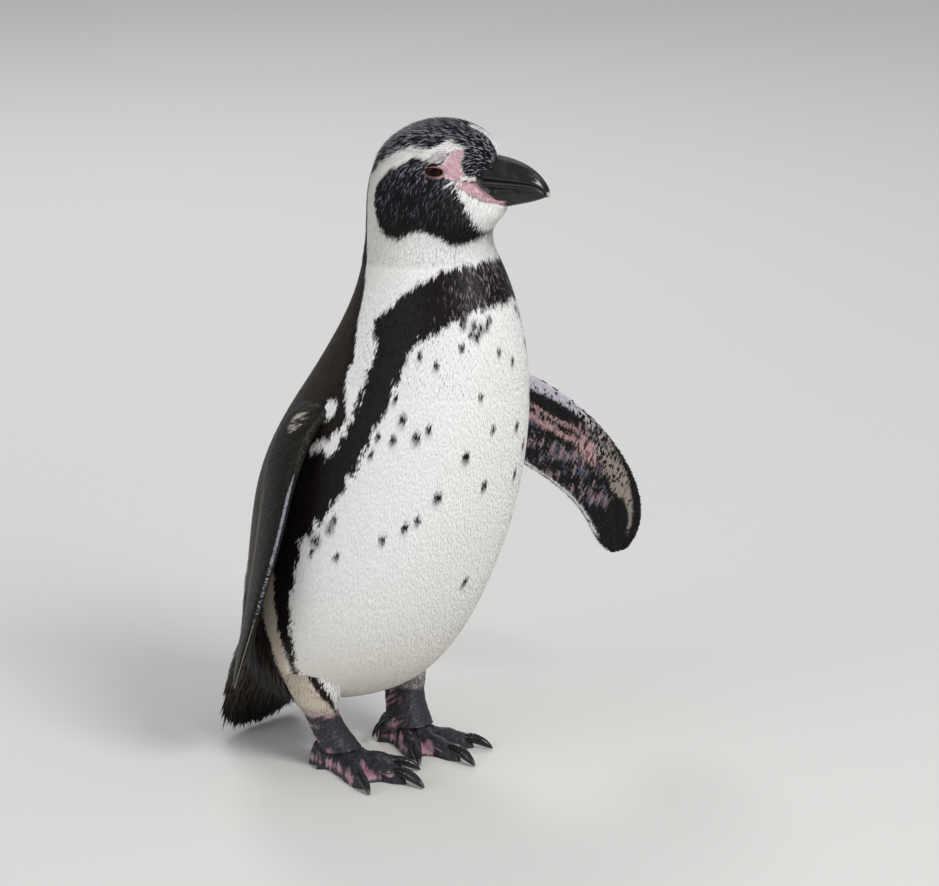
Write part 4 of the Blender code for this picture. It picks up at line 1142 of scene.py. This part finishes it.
def blade_colour(side, u, v, loose, tone):
    """Colour of a flipper: inside black, pink and blue-grey with pale edges, outside olive-black with pale ones."""
    local = loft(FLIPPER, u, v)
    x, y = local[:, 0], local[:, 1]
    inner = (np.sin(v) > 0) & (side == "left")
    flat = np.column_stack([x, y, 0 * x])
    fray = 0.8 * ripple(flat, 7.0, 51) + 0.8 * loose
    lie = np.column_stack([x * 0.86 + y * 0.5, (x * 0.5 - y * 0.86) * 0.16, 0 * x])
    streak, second = ripple(lie, 2.4, 52) + 0.3 * tone, ripple(lie, 3.6, 54) + 0.3 * loose
    clump = ripple(flat, 26.0, 55)
    trailing = y - loft(FLIPPER, u, np.full(len(u), math.pi))[:, 1]
    leading = loft(FLIPPER, u, np.zeros(len(u)))[:, 1] - y
    black = mix(linear("#121012"), linear("#242022"), smooth(-0.5, 1.2, streak)) * (1 + 0.25 * tone[:, None])
    # Pale band along the leading edge, ever more dotted with black outwards, cream with few dots at the end.
    crowded = np.interp(x, (60, 100, 118, 135, 160, 178, 200, 240), (0.14, 0.16, 0.3, 0.6, 0.6, 0.36, 0.16, 0.08))
    dotted = smooth(-0.05, 0.05, crowded - (1 - np.abs(loose)) - 0.12 * ripple(flat, 9.0, 56))
    reach = np.interp(x, (0, 60, 80, 100, 130, 160, 185, 205), (8, 8.5, 7.5, 5.5, 4.5, 6.0, 6.0, 3.0))
    lead = np.maximum.reduce([inside(x, y, LEADING_PALE), inside(x, y, TIP_PALE), reach - leading]) + 0.5 * fray
    band = mix(linear("#cfcad6"), linear("#a1978d"), smooth(110, 180, x)) * (1 + 0.1 * tone[:, None])
    band = mix(band, black, dotted)
    # Two pink streaks below the dark oval, with a spiky black one between them, which meet outwards.
    below = np.interp(x, (60, 76, 105, 121, 138, 150, 165), (13.5, 12.5, 13, 14.5, 17.5, 16.5, 11)) - y + 1.8 * streak
    between_them = smooth(1.6, 2.4, below) * smooth(8.6, 7.6, below) * smooth(150, 132, x)
    pink = smooth(-1.2, 0.0, below) * smooth(15.0, 12.5, below) * smooth(180, 168, x) * (1 - between_them)
    pink = pink * (1 - 0.9 * smooth(0.2, 0.7, second + 0.3 * streak + 0.4 * smooth(120, 150, x)))
    ovals = np.maximum.reduce([inside(x, y, line) for line in INNER_BLACK]) + 0.7 * fray
    pale_streaks = smooth(0.3, 1.0, streak + 0.9 * clump) * smooth(238, 200, x)
    shown = mix(black, linear("#6c7080"), 0.7 * pale_streaks)
    shown = mix(shown, linear("#b09292"), 0.85 * smooth(0.5, 1.1, second + 0.5 * clump) * smooth(225, 195, x))
    shown = mix(shown, linear("#d3abab"), 0.92 * pink)
    shown = mix(shown, black, smooth(-0.6, 0.6, ovals))
    shown = mix(shown, band, smooth(-0.6, 0.6, lead))
    margin = np.interp(x, (165, 190, 215, 240), (0.6, 3.2, 6.5, 9.0))
    shown = mix(shown, black, smooth(margin + 0.8, margin - 0.4, leading + 0.7 * loose) * (x > 165))
    shown = mix(shown, WHITE, smooth(3.0, 1.6, trailing + 0.8 * loose) * smooth(236, 226, x))
    hidden = mix(linear("#26231d"), linear("#161412"), smooth(-1, 1, streak)) * (1 + 0.35 * tone[:, None])
    trail = np.abs(inside(x, y, OUTER_TRAIL)) + 0.3 * loose
    hidden = mix(hidden, linear("#c9c3b0"), 0.85 * smooth(1.0, 0.4, trail) * (y < -38) * (x > 85) * (x < 215))
    if side == "left":
        hidden = mix(hidden, band, smooth(2.8, 1.4, leading + 0.4 * loose) * (x < 170))
        hidden = mix(hidden, WHITE, smooth(3.2, 1.8, trailing + 0.6 * loose) * smooth(236, 226, x))
    scratch = smooth(12, 6, np.hypot(x - 18, (y - 1) * 0.9)) * smooth(-0.3, 0.5, second)
    hidden = mix(hidden, linear("#c4beb4"), 0.85 * scratch * (side == "right"))
    return np.where(inner[:, None], shown, hidden)


def tail_fan(u, v, grow=0.0):
    """The tail's loft, carried on in a straight line beyond its last rows."""
    last = np.minimum(u, 6.5)
    step = tail(np.full(len(u), 6.5), v) - tail(np.full(len(u), 6.3), v)
    return tail(last, v, grow) + step * ((u - last) / 0.2)[:, None]


FLOOR_GAP = 0.6  # millimetres from the floor to the lowest feather


def hanging(surface, u, v, length, depth, rise, spread, least, width, ridge, lean, stray):
    """Stiff vanes that go straight from their roots along u, spread sideways from the middle line by so many
    radians and never lower than least. Also the rows that their middles and tips come to."""
    here, per_u, _, out = outward(surface, u, v)
    way = surface(u + length / per_u, v) - here
    way /= np.linalg.norm(way, axis=1, keepdims=True)
    across = np.cross(out, way)
    across /= np.linalg.norm(across, axis=1, keepdims=True)
    turn = spread * np.sign((here[:, 0] - SHIFT[0]) * across[:, 0])
    way = way * np.cos(turn)[:, None] + across * np.sin(turn)[:, None]
    room = np.maximum(here[:, 2] - least, 2.0) / np.maximum(-way[:, 2], 0.3)
    length = np.minimum(length, room)[:, None]
    tip = here + way * length + out * rise[:, None]
    sections = [here - out * depth, here - out * depth * 0.3 + way * length / 2, tip]
    for section in sections:
        section[:, 2] = np.maximum(section[:, 2], FLOOR_GAP)
    rows = [u + share * length[:, 0] / per_u for share in (0.5, 1.0)]
    return vanes(*sections, out, width, ridge, lean, stray), rows


# Pale stripes of the right flipper: rows from and to, place around, width, and whether it is bluish and flecked. They
# run along the leading edge, on towards the tip, and along the outer face.
STRIPES = ((1.75, 5.9, 0.02, 2.5, 1.0), (5.7, 9.7, 0.02, 0.6, 0.0), (2.6, 5.6, 2.15, 0.6, 0.0))


def stripe(blade, low, high, at, wide, flecked):
    """A row of pale feathers along a flipper, as one layer."""
    u = np.linspace(low, high, 420)
    loose, tone, third = draws(len(u), 25)
    v = at + 0.03 * third
    width = wide * np.interp(u, (low, low + 0.5, high - 0.6, high), (0.25, 1, 1, 0.3)) * (1 + 0.15 * loose)
    shape, _ = lying(blade, u, v, 1, 3.0 + tone, 0.1, 0.35, 0 * u, (0.0, 10.0), width, 0.1, 0.2, 0.2 * third)
    pale = mix(linear("#a39d92"), linear("#8f949d"), np.full(len(u), flecked)) * (0.8 + 0.25 * tone[:, None])
    flecks = flecked * smooth(0.35, 0.5, np.abs(loose) - 0.5 + 0.45 * smooth(3.8, 4.6, u)) * smooth(2.0, 2.6, u)
    pale = mix(pale, linear("#141316"), flecks)
    return layer(shape, pale, pale, u, v)


def fringe(side, blade):
    """Short spikes along a flipper's trailing edge, white on the spread one, as one layer."""
    along, front, thick = blade_axes(side)
    u = np.linspace(0.6, 9.7, 520)
    loose, tone, third = draws(len(u), 24)
    v = math.pi + 0.12 * third
    here = blade(u, v)
    way = along * (0.6 + 0.3 * loose)[:, None] - front
    reach = (2.2 + 0.9 * tone)[:, None]
    shape = vanes(here - way * 0.8, here + way * reach * 0.4, here + way * reach, np.tile(thick, (len(u), 1)),
                  0.75 + 0.2 * loose, 0.2, 0.2, 0.2 * third)
    pale = (WHITE * 0.9 if side == "left" else linear("#3a3631")) * (0.9 + 0.1 * tone[:, None])
    return layer(shape, pale, pale, u, v)


def flipper_coat(side, plumage):
    """Small scale-like feathers on both faces of a flipper, with longer ones at its trailing edge."""
    blade = flipper(side)
    u, v, loose, tone, third = strewn(blade, (0.0, 0.0), (9.98, 2 * math.pi), 1.85, 21 + (side == "left"), 22)
    across = np.sin(v)
    swing = np.sign(across) * (0.75 * np.abs(across) ** 0.4) + 0.12 * third
    trailing = smooth(0.45, 0.1, np.abs(v - math.pi))
    leading = smooth(0.3, 0.1, np.abs(np.sin(v / 2)))
    lengths = (0.75 + 0.25 * smooth(9.9, 8.5, u)) * (4.6 + 3.2 * trailing * np.abs(third)) * (1 + 0.15 * tone)
    rise = (0.04 if side == "right" else 0.08) + 0.12 * np.abs(third) + 0.9 * trailing + 0.4 * leading
    shape, places = lying(blade, u, v, 1, lengths, 0.9, rise, swing, (0.0, 10.0),
                          1.9 + 0.3 * loose, 0.08, 0.14, 0.10 * third)
    layers = [layer(shape, *(blade_colour(side, *place, loose, tone) for place in places), u, v), fringe(side, blade)]
    if side == "right":
        layers += [stripe(blade, *columns) for columns in STRIPES]
    coat(f"plumage_flipper_{side}", layers, (0.0, 0.0), (2 * math.pi, 10.0), plumage, "plumage_dark")


# Layers of the tail: spacing, seed, length, width, rows from and to, lowest tip and its spread.
TAIL_LAYERS = (
    (2.4, 31, 20, 2.2, 0.3, 4.7, 8.0, 10.0), (3.6, 33, 55, 4.0, 1.6, 4.7, 6.0, 12.0),
    (8.0, 35, 75, 4.6, 2.0, 4.4, 0.8, 9.0),
)


def rump_coverts():
    """Long feathers that hang over the root of the tail, straight down but lying on the body, as one layer."""
    u, v, loose, tone, third = strewn(body, (0.9, 0.0), (4.2, 2 * math.pi), 2.8, 37, 38)
    keep = (coat_marks(u, v, loose)[3] > 2.0) & (0.5 + 0.5 * loose < 0.1 + smooth(4.4, 2.4, u))
    u, v, loose, tone, third = (part[keep] for part in (u, v, loose, tone, third))
    here, _, _, out = outward(body, u, v)
    way = np.array([0.0, 0.22, -0.97]) + np.column_stack([0.16 * third, 0 * u, 0 * u])
    way = way - 0.9 * np.einsum("ij,ij->i", way, out)[:, None] * out
    way /= np.linalg.norm(way, axis=1, keepdims=True)
    length = (26 + 9 * tone + 5 * loose)[:, None]
    tip = here + way * length + out * (0.8 + 1.4 * np.abs(third))[:, None]
    shape = vanes(here - out, here + way * length / 2 + out * 0.5, tip, out, 1.9 + 0.5 * loose, 0.14, 0.3,
                  0.25 * third)
    grey = mix(linear("#5c534a"), linear("#1b1816"), smooth(-0.9, 0.4, tone + 0.4 * ripple(here, 9.0, 39)))
    grey = mix(grey, BACK_BROWN * 0.8, smooth(2.6, 4.0, u))
    return layer(shape, grey, grey * 0.8, 4.8 + u, v)


def tail_coat(plumage):
    """Stiff overlapping feathers on the tail, in layers of growing length, and the coverts over its root."""
    layers = []
    for spacing, seed, length, width, first, last, lowest, ragged in TAIL_LAYERS:
        u, v, loose, tone, third = strewn(tail, (first, 0.0), (last, 2 * math.pi), spacing, seed, seed + 1)
        shape, rows = hanging(tail_fan, u, v, length * (1 + 0.3 * tone), 1.6, 0.5 + 1.6 * np.abs(third),
                              0.02 + 0.08 * loose, lowest + ragged * third**2, width * (1 + 0.25 * loose), 0.14, 0.3,
                              0.2 * third)
        grey = mix(linear("#6b6157"), linear("#1f1b19"), smooth(-0.5, 0.7, tone))
        colours = [mix(grey, linear("#0f0d0c"), smooth(1.8, 4.4, row + 0.8 * loose)) for row in rows]
        layers.append(layer(shape, *colours, u, v))
    layers.append(rump_coverts())
    coat("plumage_tail", layers, (0.0, 0.3), (2 * math.pi, 9.0), plumage, "plumage_dark")


def thigh_coat(side, plumage):
    """Feathers of a thigh, and short tufts where they end at the ankle. The left leg has more fluff."""
    limb, ankle, fluffy = leg(THIGH, side), shank(side), side == "left"
    u, v, loose, tone, third = strewn(limb, (0.2, 0.0), (3.95, 2 * math.pi), 1.9, 41, 42)
    fluff = smooth(2.4, 3.4, u) * (1.0 if fluffy else 0.35)
    shape, places = lying(limb, u, v, 1, 7 + 1.5 * tone + 9 * fluff, 1.4, 0.2 + 0.4 * np.abs(third) + 2.0 * fluff,
                          0.2 * third, (0.0, 5.1), 1.9 + 0.3 * loose, 0.08, 0.2, 0.14 * third)
    layers = [layer(shape, *(thigh_colour(side, *place, loose, tone) for place in places), u, v)]
    u, v, loose, tone, third = strewn(ankle, (0.02, 0.0), (0.72 if fluffy else 0.35, 2 * math.pi), 0.95, 43, 44)
    shape, _ = lying(ankle, u, v, 1, 4.2 + 1.6 * tone, 0.5, 0.4 + 0.8 * np.abs(third), 0.3 * third, (0.0, 3.9),
                     0.9 + 0.2 * loose, 0.1, 0.25, 0.2 * third)
    grey = mix(linear("#cfccc8"), linear("#77757b"), smooth(-0.8, 0.4, tone))
    layers.append(layer(shape, grey, grey, 4.0 + u, v))
    coat(f"plumage_thigh_{side}", layers, (0.0, 0.2), (2 * math.pi, 5.0), plumage, "plumage_white")


def thigh_colour(side, u, v, loose, tone):
    """The thigh carries on the flank's marks: white in front, the dark band outside, cream behind, and grey down
    at its end."""
    limb = leg(THIGH, side)(u, v)
    middle = leg(THIGH, side)(u, v + math.pi)
    forward, sideways = (middle - limb)[:, 1], (limb - middle)[:, 0] * OWN[side]
    bearing = np.degrees(np.arctan2(sideways, forward)) + 5 * loose
    line = np.interp(u, (0.2, 4.0), (55.0, -24.0))
    white = mix(WHITE, BEIGE, 0.15 + 0.75 * smooth(-4, 4, bearing - line)) * (1 + 0.05 * tone[:, None])
    grey = smooth(2.9, 3.9, u + 0.4 * tone) * (0.85 if side == "left" else 0.5)
    white = mix(white, ANKLE_GREY, grey)
    band = smooth(1.0, 0.7, np.abs(bearing - line) / np.interp(u, (0.2, 4.0), (13.0, 7.0)))
    black = (0.6 * BAND_BLACK + 0.4 * BACK_BROWN) * (1 + 0.3 * tone[:, None])
    return mix(white, black, band)


# ---------------------------------------------------------------- bill, claws and eyes

# The closed rims of the two halves of the bill, flush with their sides, and the line where they meet.
MOUTH = (
    (125, 502.0, 126, 493.0, 14.2, 0.5, 3.0), (145, 501.0, 146, 492.5, 12.0, 0.5, 3.0),
    (162, 500.0, 162, 492.0, 9.4, 0.5, 3.0), (174, 499.0, 174, 490.5, 7.1, 0.5, 2.8),
    (181.5, 497.0, 181, 487.5, 5.0, 0.5, 2.6), (186, 493.5, 185.5, 486.8, 3.0, 0.5, 2.4),
    (188, 490.0, 187, 487.0, 1.3, 0.5, 2.0),
)
RIM_LINE = ((125, 497.4), (145, 497.0), (162, 496.3), (174, 495.3), (181.5, 493.2), (186, 490.6), (189, 489))
# Lines of the groove of the upper half and of the fold of the lower one.
UPPER_GROOVE = ((118, 511.5), (140, 509.0), (160, 506.5), (176, 502.5), (184, 497))
LOWER_FOLD = ((116, 486), (140, 483.5), (160, 483.5), (176, 486.5))


def rims(u, v, grow=0.0):
    """The closed rims, with a narrow groove where they meet."""
    own = loft(MOUTH, u, v)
    cut = -0.5 * np.exp(-(((own[:, 1] - on_line(own[:, 0], RIM_LINE)) / 0.35) ** 2))
    return on_skull(loft(MOUTH, u, v, cut))


def rims_colour(points, v, forward, up):
    above = up - on_line(forward, RIM_LINE)
    # Darker along the line where the rims meet, as painted shade in the groove, with a faint pale line just above it
    # as a painted highlight on the edge of the upper half.
    colour = mix(linear("#161517"), linear("#050405"), smooth(0.8, 0.3, np.abs(above)))
    return mix(colour, linear("#6f6a66"), 0.35 * smooth(0.4, 0.1, np.abs(above - 0.8)) * smooth(130, 140, forward))


def upper_horn(u, v, grow=0.0):
    """The upper bill, with a groove along its side, a nostril slit in it and low cross-ridges near the base."""
    own = loft(UPPER_BILL, u, v)
    forward, up = own[:, 0], own[:, 1]
    below = up - on_line(forward, UPPER_GROOVE)
    cut = -0.9 * np.exp(-((below / 1.1) ** 2)) * smooth(186, 172, forward)
    slit = -1.3 * np.exp(-((below / 1.0) ** 2) - ((forward - 138) / 5.5) ** 2)
    rings = 0.12 * np.sin(forward * 2 * math.pi / 5.2 + 0.25 * up) * smooth(160, 130, forward)
    ridge = 0.5 * np.exp(-((np.sin(v / 2) / 0.16) ** 2))
    lip = 0.15 * np.exp(-(((up - np.interp(forward, (114, 185), (499.5, 494.5))) / 1.4) ** 2))
    return upper_bill(u, v, grow + cut + slit + rings + ridge + lip - 0.3)


def upper_colour(points, v, forward, up):
    """Black, greyer in patches, with a painted highlight along the ridge, pale at the hook's tip and brown at the
    corner of the mouth.
    """
    colour = mix(linear("#0c0c0d"), linear("#1f1e21"), smooth(-0.2, 1.2, ripple(points, 12.0, 61)))
    # Paler along the ridge: a painted highlight.
    colour = mix(colour, linear("#8f8a86"), 0.3 * smooth(0.14, 0.04, np.sin(v / 2)) * smooth(180, 165, forward))
    colour = mix(colour, linear("#c9c4bb"), 0.8 * smooth(186.8, 188.4, forward) * smooth(492.5, 490.5, up))
    return mix(colour, linear("#6a4a40"), 0.5 * smooth(2.0, 0.5, np.abs(up - 497.5)) * smooth(150, 128, forward))


def lower_horn(u, v, grow=0.0):
    """The lower bill, with a fold of skin below its side and faint cross-ridges."""
    own = loft(LOWER_BILL, u, v)
    forward, up = own[:, 0], own[:, 1]
    cut = -0.7 * np.exp(-(((up - on_line(forward, LOWER_FOLD)) / 0.9) ** 2)) * smooth(178, 166, forward)
    rings = 0.22 * np.sin(forward * 2 * math.pi / 5.6 - 0.3 * up) * smooth(165, 135, forward)
    return lower_bill(u, v, grow + cut + rings - 0.3)


def lower_colour(points, v, forward, up):
    """Black, with bare pink flesh below the fold at its base."""
    colour = mix(linear("#0c0c0d"), linear("#1e1d20"), smooth(-0.2, 1.2, ripple(points, 12.0, 62)))
    flesh = smooth(0.8, -0.8, up - on_line(forward, LOWER_FOLD) + 0.5 * ripple(points, 5.0, 63))
    flesh = flesh * smooth(176, 166, forward) * smooth(157, 152, forward)
    return mix(colour, mix(PINK, PINK_DEEP, smooth(-0.5, 1, ripple(points, 4.0, 64))), 0.85 * flesh)


def bill_pieces(horn):
    # Columns: piece, the node that it stands for, surface, rows, steps along, points around, colour.
    for name, node, surface, rows, steps, count, colour in (
        ("bill_mouth", "bill_lower", rims, MOUTH, 90, 120, rims_colour),
        ("bill_upper_horn", "bill_upper", upper_horn, UPPER_BILL, 170, 144, upper_colour),
        ("bill_lower_horn", "bill_lower", lower_horn, LOWER_BILL, 140, 144, lower_colour),
    ):
        points, faces, u, v = grid(surface, np.linspace(0, len(rows) - 1, steps), around(count))
        own = loft(rows, u, v)
        dress(new_object(name, points, faces, colour(points, v, own[:, 0], own[:, 1])), horn, "horn", node)


def claw_pieces(horn):
    for side in SIDES:
        for toe in CLAW_LENGTH:
            points, faces, u, v = grid(claw(side, toe), np.linspace(0, len(CLAW) - 1, 70), around(32))
            colour = mix(linear("#0f1014"), linear("#25262c"), smooth(0.3, 1.4, ripple(points, 5.0, 71)))
            colour = mix(colour, linear("#5d5450"), 0.6 * smooth(5.0, 6.0, u))
            dress(new_object(f"nail_{side}_{toe}", points, faces, colour), horn, "horn", f"claw_{side}_{toe}")


GAZE = (0.20, 0.05, 1.0)  # ahead, up, out


def eyeball(side):
    gaze = np.array(GAZE) / np.linalg.norm(GAZE)
    first = np.cross((0, 1, 0), gaze)
    first /= np.linalg.norm(first)
    second = np.cross(gaze, first)

    def surface(u, v, grow=0.0):
        """A ball with a raised cornea. u is the angle from the line of sight."""
        radius = EYE_RADIUS - 0.1 + 0.45 * smooth(0.95, 0.3, u)
        way = (np.sin(u) * np.cos(v))[:, None] * first + (np.sin(u) * np.sin(v))[:, None] * second
        way = way + np.cos(u)[:, None] * gaze
        own = way * radius[:, None] + (*EYE_AT, EYE_SIDE)
        own[:, 2] *= OWN[side]
        return on_skull(own)
    return surface


def eye_pieces(eye):
    """From the middle outwards: the black pupil, the dark red iris, a darker ring, and the white's dark edge."""
    for side in SIDES:
        us = np.append(np.linspace(0.01, 1.2, 60), np.linspace(1.25, 3.1, 20))
        points, faces, u, v = grid(eyeball(side), us, around(96))
        fibre = np.sin(23 * v) * 0.5 + np.sin(37 * v + 1.0) * 0.5
        iris = mix(linear("#26120d"), linear("#381a12"), smooth(-1, 1.2, fibre) * smooth(0.3, 0.6, u))
        iris = mix(iris, linear("#1c0f0d"), smooth(0.62, 0.78, u))
        colour = mix(linear("#0a0504"), iris, smooth(0.28, 0.42, u))
        colour = mix(colour, linear("#1b1312"), smooth(0.78, 0.86, u))
        dress(new_object(f"eyeball_{side}", points, faces, colour), eye, "eye", f"eye_{side}")


# ---------------------------------------------------------------- room

CAMERA_TARGET, CAMERA_FAR, CAMERA_LENS = (0.0, 0.0, 293.5), 4.0, 187.86
CAMERA_FROM = (-0.7399, -0.6209, 0.2588)
AIM_RIGHT, AIM_UP = 0.025194, -0.007771
LIGHTS_AIM = (0, 0, 0.3)
FLOOR_HALF, FLOOR_DROP = 12000, 0.2  # millimetres; the drop keeps the floor clear of the soles


def make_camera():
    """Looks along the line from CAMERA_FROM, turned a little so that the bird stands left of the middle."""
    back = Vector(CAMERA_FROM).normalized()
    right = Vector((0, 0, 1)).cross(back).normalized()
    up = back.cross(right)
    axis = (-back + right * AIM_RIGHT + up * AIM_UP).normalized()
    data = bpy.data.cameras.new("camera")
    data.lens, data.sensor_width, data.clip_end = CAMERA_LENS, 36.0, 100.0
    camera = bpy.data.objects.new("camera", data)
    camera.location = Vector((np.array(CAMERA_TARGET) + SHIFT) * MM) + back * CAMERA_FAR
    camera.rotation_euler = axis.to_track_quat("-Z", "Y").to_euler()
    bpy.context.scene.collection.objects.link(camera)
    bpy.context.scene.camera = camera


def make_light(name, place, size, power, colour):
    data = bpy.data.lights.new(name, "AREA")
    data.shape, data.size, data.energy, data.color = "DISK", size, power, colour
    light = bpy.data.objects.new(name, data)
    light.location = place
    light.rotation_euler = (Vector(LIGHTS_AIM) - Vector(place)).to_track_quat("-Z", "Y").to_euler()
    bpy.context.scene.collection.objects.link(light)


def make_room():
    """A pale plain floor, a pale world and three soft lights."""
    places = np.linspace(-FLOOR_HALF, FLOOR_HALF, 3)
    x, y = (part.ravel() for part in np.meshgrid(places, places, indexing="ij"))
    quads = np.array([(3 * i + j, 3 * i + 3 + j, 3 * i + 4 + j, 3 * i + 1 + j) for i in range(2) for j in range(2)])
    floor = new_object("floor", np.column_stack([x, y, 0 * x - FLOOR_DROP]), quads)
    made, _, shader = new_material("studio_floor")
    set_values(shader, Base_Color=(*linear("#dcdbd8"), 1), Roughness=0.9)
    floor.data.materials.append(made)
    world = bpy.data.worlds.new("studio")
    world.use_nodes = True
    world.node_tree.nodes["Background"].inputs["Color"].default_value = (*linear("#e4e6ea"), 1)
    world.node_tree.nodes["Background"].inputs["Strength"].default_value = 0.55
    bpy.context.scene.world = world
    make_light("key", (-0.6, -2.6, 2.6), 1.4, 70, (1.0, 0.99, 0.97))
    make_light("fill", (-2.8, 0.6, 1.2), 1.8, 18, (0.93, 0.96, 1.0))
    make_light("rim", (1.6, 2.0, 2.2), 1.2, 26, (1.0, 1.0, 1.0))
    bpy.context.scene.view_settings.view_transform = "Standard"


def main():
    plumage, horn = plumage_material(), horn_material()
    make_camera()
    make_room()
    make_skin(skin_material())
    bill_coat(plumage)
    body_coat(plumage)
    for side in SIDES:
        flipper_coat(side, plumage)
    tail_coat(plumage)
    for side in SIDES:
        thigh_coat(side, plumage)
    bill_pieces(horn)
    claw_pieces(horn)
    eye_pieces(eye_material())


main()
